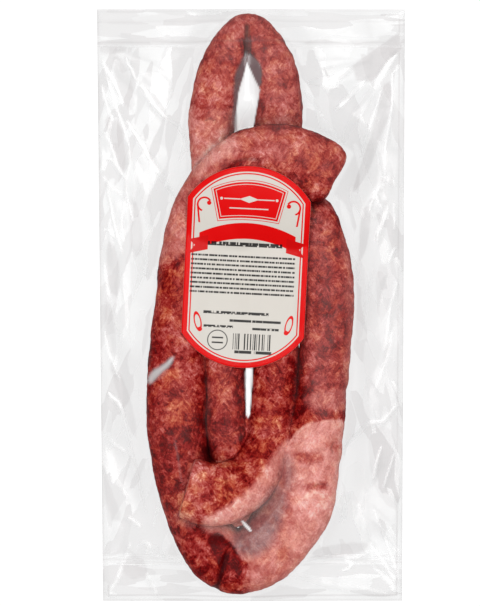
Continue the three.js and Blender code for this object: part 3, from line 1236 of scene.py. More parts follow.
# Folds that the photograph shows, raised in the film with a painted glint along each, from the corner that
# they spring from
BLADES = (
    Blade(((100, 58), (113, 80), (124, 106)), 3.4),
    Blade(((101, 62), (116, 104), (124, 127), (130, 150)), 3.0),
    Blade(((129, 140), (130, 163), (126, 180), (126, 195), (122, 221), (124, 244)), 2.0, 0.9),
    Blade(((126, 119), (146, 152), (164, 180), (178, 203)), 4.0),
    Blade(((142, 134), (150, 160), (157, 193)), 2.0, 0.6),
    Blade(((126, 57), (131, 69), (137, 82)), 3.2),
    Blade(((140, 84), (152, 100), (166, 119)), 6.0),
    Blade(((163, 117), (178, 126), (188, 142)), 3.0, 0.8),
    Blade(((101, 84), (107, 104), (114, 122)), 3.2, 0.9),
    Blade(((109, 138), (116, 160), (125, 180)), 2.6, 0.9),
    Blade(((103, 156), (112, 160), (122, 176)), 2.6, 0.7),
    Blade(((103, 176), (112, 188), (126, 196)), 3.2, 0.6),
    Blade(((106, 184), (113, 219), (123, 254)), 2.2, 0.9),
    Blade(((125, 192), (129, 205), (133, 220)), 2.4, 0.9),
    Blade(((103, 229), (111, 231), (116, 240)), 3.2, 0.8),
    Blade(((136, 158), (144, 188), (151, 232)), 9.0, 0.45),
    Blade(((142, 242), (147, 262), (149, 280)), 3.0, 0.6),
    Blade(((104, 262), (110, 300), (122, 344)), 3.0, 0.7),
    Blade(((118, 268), (126, 300), (130, 344)), 4.0, 0.4),
    Blade(((104, 330), (110, 356), (120, 380)), 2.6, 0.7),
    Blade(((107, 391), (118, 402), (125, 416)), 5.0, 0.9),
    Blade(((122, 410), (129, 436), (138, 476), (147, 514)), 2.2, 0.9),
    Blade(((103, 434), (114, 444), (127, 453)), 2.2, 0.8),
    Blade(((104, 444), (114, 474), (128, 498)), 5.0, 0.45),
    Blade(((128, 516), (134, 522), (141, 526)), 4.6, 0.9),
    Blade(((139, 541), (154, 546), (167, 558)), 4.6, 0.6),
    Blade(((146, 572), (152, 584), (159, 598)), 4.0, 0.5),
    Blade(((105, 596), (117, 580), (131, 541)), 3.6, 0.5),
    Blade(((105, 590), (110, 594), (117, 596)), 4.6, 0.9),
    Blade(((398, 53), (386, 68), (373, 88)), 6.5),
    Blade(((366, 80), (352, 94), (334, 112)), 4.6),
    Blade(((352, 68), (334, 80), (306, 84)), 8.0),
    Blade(((376, 84), (358, 112), (338, 150)), 9.0, 0.4),
    Blade(((382, 88), (371, 122), (359, 160)), 1.9, 0.9),
    Blade(((401, 65), (392, 74), (392, 109), (385, 149), (384, 178)), 2.0, 0.9),
    Blade(((381, 178), (388, 180), (397, 186)), 6.0, 0.8),
    Blade(((380, 186), (374, 196), (369, 212)), 3.0, 0.8),
    Blade(((373, 190), (377, 198), (381, 208)), 2.4, 0.8),
    Blade(((388, 200), (383, 220), (374, 242)), 5.0, 0.6),
    Blade(((394, 202), (395, 216), (394, 231)), 2.6, 0.8),
    Blade(((396, 246), (392, 254), (388, 263)), 3.2, 0.8),
    Blade(((376, 232), (384, 246), (384, 264)), 9.0, 0.45),
    Blade(((302, 92), (310, 100), (319, 110)), 5.0, 0.5),
    Blade(((398, 280), (390, 310), (384, 350)), 3.0, 0.6),
    Blade(((374, 268), (366, 300), (362, 330)), 4.0, 0.4),
    Blade(((392, 330), (386, 360), (374, 392)), 4.0, 0.5),
    Blade(((341, 450), (354, 436), (368, 423), (384, 421), (400, 401)), 4.4, 0.8),
    Blade(((381, 445), (377, 462), (373, 480)), 3.0, 0.9),
    Blade(((394, 452), (389, 470), (383, 488)), 2.4, 0.8),
    Blade(((392, 380), (396, 386), (400, 394)), 3.0, 0.8),
    Blade(((368, 378), (373, 396), (379, 419)), 7.0, 0.35),
    Blade(((347, 500), (344, 512), (339, 523)), 4.6, 0.6),
    Blade(((373, 508), (388, 546), (401, 582)), 2.0, 0.8),
    Blade(((370, 543), (384, 562), (403, 592)), 2.6, 0.9),
    Blade(((371, 562), (384, 576), (402, 594)), 5.0, 0.8),
    Blade(((345, 559), (352, 563), (349, 568), (341, 571)), 3.4, 0.9),
    Blade(((305, 559), (330, 555), (357, 557), (375, 550)), 3.6, 0.5),
    Blade(((294, 575), (330, 585), (390, 594)), 6.5, 0.4),
)
# Thin creases where the film lies tight on the meat, painted as thin glints
TIGHT_CREASES = (
    ((174, 434), (178, 452), (182, 478), (188, 485)),
    ((152, 374), (163, 367), (177, 354)),
    ((151, 382), (160, 378), (170, 370)),
)
# Grey and pale facets of the film between its folds: painted reflections and shade, as if they mirrored dim
# and bright surroundings
GREY_FACETS = (
    facet(((352, 66), (398, 33), (402, 48), (372, 82), (357, 81)), 0.7, 1.4, 0),
    facet(
        ((381, 86), (392, 81), (391, 112), (381, 136), (369, 173), (349, 200), (361, 161), (374, 127)),
        0.8,
        1.6,
    ),
    facet(((361, 209), (372, 204), (368, 243), (361, 262), (357, 262)), 0.8, 1.6),
    facet(((352, 258), (366, 262), (366, 330), (354, 350)), 0.45, 3.0),
    facet(((374, 262), (396, 270), (390, 306), (378, 330)), 0.55, 1.6),
    facet(((367, 429), (388, 424), (399, 447), (401, 513), (384, 504), (370, 480)), 0.55, 1.6),
    facet(((306, 548), (368, 540), (366, 552), (320, 560)), 0.45),
    facet(((104, 115), (121, 122), (127, 158), (123, 176), (110, 140)), 0.7, 1.6),
    facet(((113, 50), (130, 74), (136, 106), (128, 112), (116, 84)), 0.4),
    facet(((128, 196), (140, 206), (144, 250), (132, 262)), 0.5),
    facet(((106, 238), (118, 250), (120, 300), (108, 290)), 0.55, 1.6),
    facet(((104, 300), (112, 304), (118, 360), (106, 350)), 0.4),
    facet(((104, 350), (128, 384), (140, 440), (128, 430)), 0.5),
    facet(((100, 448), (112, 490), (124, 520), (108, 520)), 0.4),
    facet(((118, 560), (140, 552), (150, 575), (128, 580)), 0.45),
    facet(((99, 46), (128, 46), (124, 54), (101, 54)), 0.5),
    facet(((346, 100), (404, 84), (404, 300), (404, 520), (352, 544), (356, 300)), 0.26, 14.0, 2),
    facet(((100, 345), (150, 345), (160, 500), (100, 520)), 0.14, 14.0, 2),
)
PALE_FACETS = (
    facet(((138, 73), (166, 72), (165, 119), (135, 85)), 0.45, 1.4),
    facet(((110, 52), (170, 46), (190, 60), (128, 62)), 0.3),
    facet(((302, 40), (356, 38), (346, 66), (306, 72)), 0.3),
    facet(((158, 34), (220, 30), (214, 40), (160, 41)), 0.35, 1.6),
    facet(((342, 470), (362, 456), (366, 500), (350, 512)), 0.35),
    facet(((108, 530), (124, 520), (122, 548), (108, 556)), 0.35),
    facet(((148, 379), (153, 370), (163, 365), (176, 354), (170, 366), (160, 374), (151, 384)), 0.54, 3.4),
)


@dataclass
class Pouch:
    """The clear pouch: front and back film as height fields over its outline."""

    ropes: Sequence[bpy.types.Object]
    strands: Sequence[Strand]
    half_length: float = 192.0
    top_half_width: float = 100.0
    bottom_left: float = -96.0
    bottom_right: float = 98.0
    cell: float = 0.9
    flank_height: float = 8.0
    margin_height: float = 2.6
    flank_fall: float = 14.0
    wave_height: float = 1.1
    wave_length: float = 46.0
    blade_height: float = 0.6
    drape_radius: float = 9.0
    drape_reach: float = 22.0
    film_gap: float = 0.35
    # Film tones: painted glints and painted shade, haze, and the edge and weld lines.
    blade_shine: float = 0.75
    facet_shade: float = 0.24
    gap_shade: float = 0.30
    dry_haze: float = 0.10
    crease_glint_strength: float = 0.06
    rim_shade: float = 0.16
    weld_inset: float = 3.6
    seal_rows_px: tuple[float, float] = (42.5, 21.5)
    crease_share: float = 0.8
    broad_lump: float = 19.0
    broad_height: float = 1.5
    fine_lump: float = 9.0
    fine_height: float = 0.35
    crowd_passes: int = 60
    # Painted shade on the ropes: in crevices under the film, on their flanks and on their slopes.
    deep_shade: float = 0.95
    flank_shade: float = 0.9
    slope_shade: float = 0.6
    seed: int = 11

    def lay_out(self) -> None:
        """Sets up the grid of both films."""
        self.columns = int(round(2 * self.top_half_width / self.cell)) + 1
        self.rows = int(round(2 * self.half_length / self.cell)) + 1
        share_x, share_y = np.meshgrid(np.linspace(0, 1, self.columns), np.linspace(0, 1, self.rows))
        left, right = self.sides(share_y)
        self.x = left + (right - left) * share_x
        self.y = -self.half_length + 2 * self.half_length * share_y
        from_side = np.minimum(share_x, 1 - share_x) * 2 * self.top_half_width
        from_end = np.minimum(share_y, 1 - share_y) * 2 * self.half_length
        self.from_edge = np.minimum(from_side, from_end)

    def sides(self, share: np.ndarray) -> tuple[np.ndarray, np.ndarray]:
        """Where the pouch's long edges lie.

        Args:
            share: shares of its length from the foot.

        Returns:
            The places across of its left and right edges, in millimetres.
        """
        left = self.bottom_left + (-self.top_half_width - self.bottom_left) * share
        right = self.bottom_right + (self.top_half_width - self.bottom_right) * share
        return left, right

    def cells_of(self, points: np.ndarray) -> tuple[np.ndarray, np.ndarray]:
        """The grid's nearest cells to points.

        Args:
            points: the points in millimetres, one to a row.

        Returns:
            The cells' rows and columns.
        """
        row = np.rint((points[:, 1] + self.half_length) / self.cell).astype(int)
        left, right = self.sides(row / (self.rows - 1))
        return row, np.rint((points[:, 0] - left) / (right - left) * (self.columns - 1)).astype(int)

    def drape(self, heights: np.ndarray, radius: float, reach: float) -> np.ndarray:
        """Raises heights to a skin that no bend tighter than radius can go under.

        Args:
            heights: heights on the grid.
            radius: the tightest bend in millimetres.
            reach: how far the skin carries in millimetres.

        Returns:
            The raised heights.
        """
        steps = int(reach / self.cell)
        for axis in (0, 1):
            spread = heights.copy()
            for k in range(1, steps + 1):
                fall = (k * self.cell) ** 2 / (2 * radius)
                for way in (k, -k):
                    moved = np.roll(heights, way, axis)
                    spread = np.maximum(spread, moved - fall)
            heights = spread
        return heights

    def stretch_over(self, heights: np.ndarray, radius: float, reach: float) -> np.ndarray:
        """The tight skin over heights: it bridges hollows and lies on what stands out."""
        return -self.drape(-self.drape(heights, radius, reach), radius, reach)

    def soften(self, heights: np.ndarray, passes: int) -> np.ndarray:
        """Evens out heights over a few cells.

        Args:
            heights: heights on the grid.
            passes: how often each is evened out.

        Returns:
            The even heights.
        """
        for _ in range(passes):
            for axis in (0, 1):
                heights = (np.roll(heights, 1, axis) + 2 * heights + np.roll(heights, -1, axis)) / 4
        return heights

    def meat(self, top: bool) -> np.ndarray:
        """The highest, or lowest, point of the ropes in each cell and its neighbours, -1000 where there is
        none.

        Args:
            top: True for the highest point and False for the lowest.

        Returns:
            The heights on the grid, with the sign turned for the lowest.
        """
        sign = 1 if top else -1
        highest = np.full(self.x.shape, -1e3)
        for rope in self.ropes:
            points = read_points(rope.data)
            np.maximum.at(highest, self.cells_of(points), sign * points[:, 2])
        for axis in (0, 1):
            highest = np.maximum(highest, np.maximum(np.roll(highest, 1, axis), np.roll(highest, -1, axis)))
        return highest

    def tent(self, line: np.ndarray, height: float, width: float) -> np.ndarray:
        """One fold along a line, sharp at its start and fading out at its end.

        Args:
            line: the fold's line in plan.
            height: its height.
            width: its width.

        Returns:
            The fold's height on the grid.
        """
        apart, along = line_distance(self.x, self.y, line)
        taper = ease(along, 0, 0.12) * ease(along, 1, 0.7)
        return height * taper * np.exp(-apart / (width * (0.45 + along)))

    def folds(self) -> np.ndarray:
        """Height of the folds in the margins.

        Returns:
            The height on the grid, in millimetres.
        """
        draw = np.random.default_rng(self.seed)
        total = np.zeros(self.x.shape)
        for fan in FANS:
            start, end = to_plan(fan.start), to_plan(fan.end)
            for i in range(fan.count):
                share = (i + draw.uniform(0.1, 0.9)) / fan.count
                a = start[0] + (start[1] - start[0]) * share + draw.normal(0, 1.5, 2)
                b = end[0] + (end[1] - end[0]) * np.clip(share + draw.normal(0, 0.12), 0, 1)
                cut = np.sort(draw.uniform(0, 1, 2))
                cut = (0.0, 1.0) if cut[1] - cut[0] < 0.3 else cut
                a, b = a + (b - a) * cut[0], a + (b - a) * cut[1]
                across = np.array((a[1] - b[1], b[0] - a[0])) / np.hypot(*(b - a))
                bow = fan.bow * draw.normal(0.6, 0.7)
                share = np.linspace(0, 1, 7)[:, None]
                line = a + (b - a) * share + across * bow * 4 * share * (1 - share)
                height = draw.choice((1, 1, -0.8)) * fan.height * draw.uniform(0.35, 1.0)
                total += self.tent(line, height, fan.width * draw.uniform(0.7, 2.0))
        for blade in BLADES:
            total += self.blade_height * blade.strength * self.blade_cover(blade, 4.0)
        return total

    def blade_cover(self, blade: Blade, soft: float) -> np.ndarray:
        """How much of a blade lies in each cell, its edge as soft as stated in millimetres.

        Args:
            blade: the blade.
            soft: width of its edge.

        Returns:
            The cover on the grid, from 0 to 1.
        """
        apart, along = line_distance(self.x, self.y, to_plan(blade.line))
        half = blade.width / 2 * PIXEL * np.sqrt(np.clip(4 * along * (1 - along), 0, 1))
        return ease(apart - half, soft / 2, -soft / 2) * ease(along, 0, 0.04) * ease(along, 1, 0.96)

    def crumple(self) -> np.ndarray:
        """Small facets all over the loose film.

        Returns:
            The height on the grid, in millimetres.
        """
        flat = np.column_stack((self.x.ravel(), self.y.ravel() * 0.55, np.zeros(self.x.size)))
        flat = flat + 3.0 * np.column_stack([smooth_noise(flat, 12, self.seed + k) for k in (1, 2, 3)])
        broad = lump_noise(flat, self.broad_lump, self.seed + 40) * self.broad_height
        fine = lump_noise(flat, self.fine_lump, self.seed + 50) * self.fine_height
        return (broad + fine).reshape(self.x.shape) - 0.9

    def heights(self) -> None:
        """Works out the heights of both films and what their material reads."""
        outside = np.full(self.x.shape, 1e9)
        for strand in self.strands:
            outside = np.minimum(outside, strand.outside(self.x, self.y))
        outside = np.maximum(outside, 0)
        wave = np.sin(2 * np.pi * self.y / self.wave_length + self.x / 20) * np.cos(
            2 * np.pi * self.x / (2.3 * self.wave_length) - self.y / 35
        )
        margin = self.margin_height + self.wave_height * wave
        middle = margin + (self.flank_height - margin) * np.exp(-outside / self.flank_fall)
        self.loose = ease(outside, 1.4, 4.0)
        self.crowd = ease(self.soften((outside <= 0).astype(float), self.crowd_passes), 0.52, 0.85)
        creases = (self.folds() + self.crumple()) * ease(outside, 1.0, 8.0) * ease(self.from_edge, 0.5, 6.0)
        middle = middle + creases * self.crease_share
        top = np.maximum(self.meat(True), middle)
        under = np.maximum(self.meat(False), -middle)
        self.skin = self.stretch_over(top, self.drape_radius, self.drape_reach)
        front = np.maximum(self.soften(self.skin, 2), top + 0.1) + self.film_gap
        back = -self.soften(self.stretch_over(under, self.drape_radius, self.drape_reach), 2)
        back = np.minimum(back, -under - 0.1)
        back = np.maximum(back, 0.08)
        weld = ease(self.from_edge, 0.0, 3.0)
        self.front = np.maximum(back + 0.12 + (front - back - 0.12) * weld, back + 0.12)
        self.back = back
        # Painted highlights: glints along the blades, pale facets, the white over the openings and the crease
        # glints make up shine.
        blades = np.zeros(self.x.shape)
        for blade in BLADES:
            blades = np.maximum(blades, blade.strength * self.blade_cover(blade, 1.5))
        pale = strongest(PALE_FACETS, self.x, self.y)
        self.shine = np.maximum(self.blade_shine * blades * self.loose, pale * np.where(outside > 1, 0.45, 1))
        opened = strongest(OPENINGS, self.x, self.y)
        self.shine = np.maximum(self.shine, np.maximum(opened, self.crease_glints()))
        # Painted shade: grey facets and the grey over the deep gaps, with the film's edge and weld lines,
        # make up shade.
        grey = self.facet_shade * strongest(GREY_FACETS, self.x, self.y) * self.loose
        gap_shading = self.gap_shade * strongest(GAP_SHADE, self.x, self.y)
        self.shade = np.maximum(np.maximum(grey, self.edge_lines()), gap_shading) * (1 - np.minimum(opened / 0.8, 1))
        haze = self.dry_haze * dryness(self.x, self.y) + strongest(VEIL, self.x, self.y)
        self.haze = haze * ease(outside, 2.5, 0.5)

    def crease_glints(self) -> np.ndarray:
        """Painted glints: thin bright lines along the film's creases where it lies on the meat.

        Returns:
            How bright they are on the grid.
        """
        total = np.zeros(self.x.shape)
        for line in TIGHT_CREASES:
            apart, along = line_distance(self.x, self.y, to_plan(line))
            ends = ease(along, 0, 0.2) * ease(along, 1, 0.8)
            total = np.maximum(total, self.crease_glint_strength * ease(apart, 1.1, 0.2) * ends)
        return total

    def edge_lines(self) -> np.ndarray:
        """Grey lines at the cut edge and along the weld.

        Returns:
            How grey they are on the grid.
        """
        rim = self.rim_shade * ease(self.from_edge, 1.1, 0.5)
        px, py = to_pixels(self.x, self.y)
        right_or_foot = (px > 380) | (py > 585)
        inner = self.rim_shade * ease(np.abs(self.from_edge - self.weld_inset), 0.8, 0.3) * right_or_foot
        lower, upper = (np.abs(py - row) for row in self.seal_rows_px)
        seal = 0.10 * ease(lower, 1.4, 0.5) + 0.06 * ease(upper, 1.2, 0.4)
        return np.maximum(np.maximum(rim, inner), seal)

    def darken_crevices(self, rope: bpy.types.Object) -> None:
        """Paints shade into a rope's skin: darker where it lies deep under the stretched film and on its
        sides, which turn away from the lights overhead.

        Args:
            rope: the rope, whose dark and crack numbers change.
        """
        points = read_points(rope.data)
        cells = self.cells_of(points)
        depth, crowd = self.skin[cells] - points[:, 2], self.crowd[cells]
        crevice_shade, dark, dry = (read_values(rope.data, name) for name in ("crevice_shade", "dark", "dry"))
        facing_up = np.maximum(read_points(rope.data, "normal")[:, 2], 0)
        lit = 1 - strongest(CUT_WALLS, points[:, 0], points[:, 1])
        # Painted shade in crevices deep under the film, held off the lit cut walls.
        deep = self.deep_shade * ease(depth, 3.0, 11.0) * (1 - 0.95 * facing_up**2) * lit * crowd
        # Painted shade on the flanks and slopes, darker the more they turn from the lights overhead.
        flank = self.flank_shade * ease(facing_up, 0.70, 0.15) * (0.35 + 0.65 * crowd)
        flank = (flank + self.slope_shade * ease(facing_up, 0.99, 0.70)) * (1 - 0.75 * dry) * lit
        set_values(rope.data, "crevice_shade", np.maximum(crevice_shade, deep))
        set_values(rope.data, "dark", dark + flank)

    def build(self, sheet: Sheet, finish: bpy.types.Material) -> bpy.types.Object:
        """Builds one film.

        Args:
            sheet: which film.
            finish: its material.

        Returns:
            The film, riding on the pack.
        """
        heights = self.front if sheet is Sheet.FRONT else self.back
        every = 1 if sheet is Sheet.FRONT else 2
        pick = np.s_[::every, ::every]
        points = np.column_stack([v[pick].ravel() for v in (self.x, self.y, heights)])
        faces = grid_faces(*heights[pick].shape[::-1])
        mesh = mesh_of(sheet.value, points, faces if sheet is Sheet.FRONT else faces[:, ::-1])
        read = {"haze": self.haze, "shine": self.shine, "shade": self.shade, "loose": self.loose}
        for name, values in read.items():
            share = 1.0 if sheet is Sheet.FRONT or name == "loose" else 0.0
            add_values(mesh, name, values[pick] * share)
        mesh.materials.append(finish)
        film = new_piece(sheet.value, mesh)
        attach(film, "root")
        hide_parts("bag")
        return film


# Label


@dataclass(frozen=True)
class LabelFinish:
    """Printed paper: fields of colour and plain ornaments laid out from the label's own middle."""

    centre: tuple[float, float]
    turn: float
    half_width: float
    dome_middle: float
    dome_radius: float
    paper: Colour = srgb(207, 202, 194)
    red: Colour = srgb(215, 2, 3)
    dark_red: Colour = srgb(200, 3, 4)
    ink: Colour = srgb(16, 14, 18)
    rim_width: float = 3.6
    line_inset: float = 4.9
    line_width: float = 0.84
    panel_middle: float = 42.0
    panel_half_width: float = 21.6
    panel_top: float = 54.6
    panel_foot: float = 31.6
    rule_height: float = 43.5
    ribbon_height: float = 23.4
    ribbon_half: tuple[float, float] = (31.0, 5.1)
    curl_middle: tuple[float, float] = (28.6, 39.2)
    leaf_height: float = -36.0
    print_top: float = 8.3
    row_pitch: float = 2.95
    rows: int = 9
    wide_rules: Sequence[tuple[float, float, float, float]] = (
        (-5.0, -29.7, 21.0, 0.9),
        (7.6, -34.6, 16.5, 0.8),
        (-16.0, -38.6, 9.5, 0.75),
        (14.5, -39.4, 8.5, 0.75),
        (7.0, -54.6, 12.0, 0.95),
        (-1.3, 14.6, 24.0, 1.3),
    )
    code_middle: tuple[float, float] = (7.0, -47.9)
    code_half: tuple[float, float] = (13.6, 5.2)
    stamp_middle: tuple[float, float] = (-16.1, -47.5)
    stamp_radius: float = 6.3

    def make(self) -> bpy.types.Material:
        """Builds the material.

        Returns:
            The material.
        """
        g = Graph("printed_label")
        x, y, _, place = g.place()
        cos, sin = math.cos(self.turn), math.sin(self.turn)
        dx, dy = x - self.centre[0], y - self.centre[1]
        u, v = dx * cos + dy * sin, dy * cos - dx * sin
        edge = self.outline(u, v)
        rim = band(edge, -self.rim_width / 2, self.rim_width / 2)
        line = band(edge, -self.line_inset, self.line_width / 2)
        red = rim.most(line).most(self.cartouche(u, v)).most(self.ribbon(u, v)).most(self.curls(u, v))
        colour = g.mix(red, self.paper, self.red)
        colour = g.mix(self.ribbon_tails(u, v), colour, self.dark_red)
        colour = g.mix(self.print_lines(g, u, v).most(self.stripes(g, u, v)) * 0.95, colour, self.ink)
        fibre = g.noise(place, 0.9, 3)
        shader = g.add(
            "BsdfPrincipled",
            sockets={
                "Base Color": colour,
                "Roughness": 0.38 + 0.15 * fibre,
                "Coat Weight": 0.02 * fibre,
                "Specular IOR Level": 0.10,
                "Normal": g.bump(fibre, 0.05, 0.1 * MM),
            },
        )
        return g.finish(shader.outputs["BSDF"])

    def outline(self, u: Value, v: Value) -> Value:
        """Distance to the label's edge, negative inside it."""
        dome = ((abs(v) - self.dome_middle).most(0.0) ** 2.0 + u * u) ** 0.5 - self.dome_radius
        return dome.most(abs(u) - self.half_width)

    def cartouche(self, u: Value, v: Value) -> Value:
        """A red panel with an arched top, a white line inside and a fine red line round it.

        Args:
            u: place across the label in millimetres from its middle.
            v: place along it.

        Returns:
            1 on its red and 0 elsewhere.
        """
        sides = abs(u) - (self.panel_half_width + 0.24 * (v - self.panel_middle))
        arch = v - (self.panel_top - u * u * 0.010)
        foot = (self.panel_foot - u * u * 0.004) - v
        edge = sides.most(arch).most(foot)
        panel = edge.ease(0.2, -0.2) * (1.0 - band(edge, -1.5, 0.2))
        above = v - self.rule_height
        lozenge = (abs(u) * 0.35 + abs(above) - 2.2).ease(0.2, -0.2)
        rules = box(abs(u) - 11.0, above, 5.2, 0.35).most(box(u, above + 5.9, 12.5, 0.35))
        dots = ((abs(u) - 17.8) ** 2.0 + above**2.0).ease(1.0, 0.6)
        return (panel * (1.0 - lozenge.most(rules).most(dots))).most(band(edge, 1.1, 0.22))

    def ribbon(self, u: Value, v: Value) -> Value:
        """An arched red band across the label."""
        return box(u, v - (self.ribbon_height - u * u * 0.0078), *self.ribbon_half)

    def ribbon_tails(self, u: Value, v: Value) -> Value:
        """The notched ends of the band, which hang behind it.

        Args:
            u: place across the label in millimetres from its middle.
            v: place along it.

        Returns:
            1 on the tails and 0 elsewhere.
        """
        fall = self.ribbon_height - 9.8 - (abs(u) - self.ribbon_half[0]) * 0.25
        tail = box(abs(u) - 31.2, v - fall, 6.0, 4.6)
        notch = (abs(v - fall) * 0.9 + 33.6 - abs(u)).ease(-0.2, 0.2)
        return tail * notch

    def curls(self, u: Value, v: Value) -> Value:
        """A curl in each corner of the field.

        Args:
            u: place across the label in millimetres from its middle.
            v: place along it.

        Returns:
            1 on their lines and 0 elsewhere.
        """
        across, up = self.curl_middle
        upper = ring(abs(u) - across, v - up, 4.3, 0.6) * (v * 0.8 + abs(u) - 58.0).ease(-0.4, 0.4)
        tail = box(abs(u) - 32.2 + (33.5 - v) * 0.14, v - 33.5, 0.6, 6.0)
        upper = upper.most(ring(abs(u) - 25.6, v - 40.2, 0.7, 0.7)).most(tail)
        above = v - self.leaf_height
        slant = abs(u) - 29.4 - above * 0.22
        leaf = ((slant * slant) * 5.0 + above**2.0 * 0.75) ** 0.5
        return upper.most(band(leaf, 4.6, 0.9)).most(ring(abs(u) - 27.8, v + 41.0, 1.1, 0.4))

    def print_lines(self, g: Graph, u: Value, v: Value) -> Value:
        """Grey rules where small print would be, broken like words.

        Args:
            g: the label's tree.
            u: place across the label in millimetres from its middle.
            v: place along it.

        Returns:
            1 on the rules and 0 elsewhere.
        """
        count = (v - self.print_top) / self.row_pitch
        row = count.maths("FLOOR")
        within = abs(count - row - 0.5).ease(0.26, 0.16)
        words = g.point(u, row * 7.0)
        gaps = g.noise(words, 1.0, 2, 0.7).ease(0.42, 0.47)
        block = box(u + 2.0, v + 5.0, 33.5, self.rows * self.row_pitch / 2)
        wide, *others = (box(u - across, v - up, *half) for across, up, *half in self.wide_rules)
        for rule in others:
            wide = wide.most(rule)
        return (block * within * gaps).most(wide * g.noise(words, 1.5, 1).ease(0.36, 0.42))

    def stripes(self, g: Graph, u: Value, v: Value) -> Value:
        """Plain stripes and a stamped ring near the foot.

        Args:
            g: the label's tree.
            u: place across the label in millimetres from its middle.
            v: place along it.

        Returns:
            1 on the lines and 0 elsewhere.
        """
        bars = g.noise(g.point(u), 0.95, 0).ease(0.50, 0.53)
        code = box(u - self.code_middle[0], v - self.code_middle[1], *self.code_half) * bars
        across, above = u - self.stamp_middle[0], v - self.stamp_middle[1]
        stamp = ring(across, above, self.stamp_radius, 0.3).most(box(across, abs(above) - 1.6, 3.6, 0.5))
        return code.most(stamp)


def band(distance: Value, middle: float, half: float) -> Value:
    """1 within half of a distance and 0 past it."""
    return (abs(distance - middle) - half).ease(0.18, -0.18)


def box(u: Value, v: Value, half_width: float, half_height: float) -> Value:
    """1 inside a rectangle about the middle."""
    return (abs(u) - half_width).most(abs(v) - half_height).ease(0.18, -0.18)


def ring(u: Value, v: Value, radius: float, half: float) -> Value:
    """1 on a circle's line."""
    return band((u * u + v * v) ** 0.5, radius, half)


@dataclass
class Label:
    """The paper label, bent over the film."""

    pouch: Pouch
    centre: tuple[float, float] = (-3.3, 24.2)
    turn: float = math.radians(-2.8)
    half_width: float = 39.6
    half_length: float = 64.8
    dome_radius: float = 47.5
    thickness: float = 0.35
    clearance: float = 0.25
    bend_radius: float = 55.0
    bend_reach: float = 45.0
    columns: int = 61
    rows: int = 97

    def build(self) -> bpy.types.Object:
        """Builds the label.

        Returns:
            The label, riding on the pack.
        """
        across, share = np.meshgrid(np.linspace(-1, 1, self.columns), np.linspace(-1, 1, self.rows))
        u = across * self.half_width
        v = share * (self.half_length - self.dome_radius + np.sqrt(self.dome_radius**2 - u**2))
        cos, sin = math.cos(self.turn), math.sin(self.turn)
        x, y = self.centre[0] + u * cos - v * sin, self.centre[1] + u * sin + v * cos
        pouch = self.pouch
        bridged = pouch.soften(pouch.drape(pouch.front, self.bend_radius, self.bend_reach), 3)
        row = (y + pouch.half_length) / pouch.cell
        column = (x + pouch.top_half_width) / pouch.cell
        under = self.sample(np.maximum(bridged, pouch.front), row, column) + self.clearance
        lower = np.column_stack((x.ravel(), y.ravel(), under.ravel()))
        upper = lower + (0, 0, self.thickness)
        face = grid_faces(self.columns, self.rows)
        count = self.columns * self.rows
        index = np.arange(count).reshape(self.rows, self.columns)
        rim = np.concatenate((index[0, :-1], index[:-1, -1], index[-1, :0:-1], index[:0:-1, 0]))
        after = np.roll(rim, -1)
        edge = np.column_stack((rim, after, after + count, rim + count))
        faces = np.vstack((face[:, ::-1], face + count, edge))
        mesh = mesh_of("paper_label", np.vstack((lower, upper)), faces)
        finish = LabelFinish(
            self.centre, self.turn, self.half_width, self.half_length - self.dome_radius, self.dome_radius
        )
        mesh.materials.append(finish.make())
        label = new_piece("paper_label", mesh)
        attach(label, "root")
        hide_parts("label")
        return label

    def sample(self, heights: np.ndarray, row: np.ndarray, column: np.ndarray) -> np.ndarray:
        """Heights between the cells of a grid.

        Args:
            heights: heights on the grid.
            row: rows with their fractions.
            column: columns with their fractions.

        Returns:
            The heights there.
        """
        r, c = np.floor(row).astype(int), np.floor(column).astype(int)
        fr, fc = row - r, column - c
        return (
            heights[r, c] * (1 - fr) * (1 - fc)
            + heights[r, c + 1] * (1 - fr) * fc
            + heights[r + 1, c] * fr * (1 - fc)
            + heights[r + 1, c + 1] * fr * fc
        )


# Studio


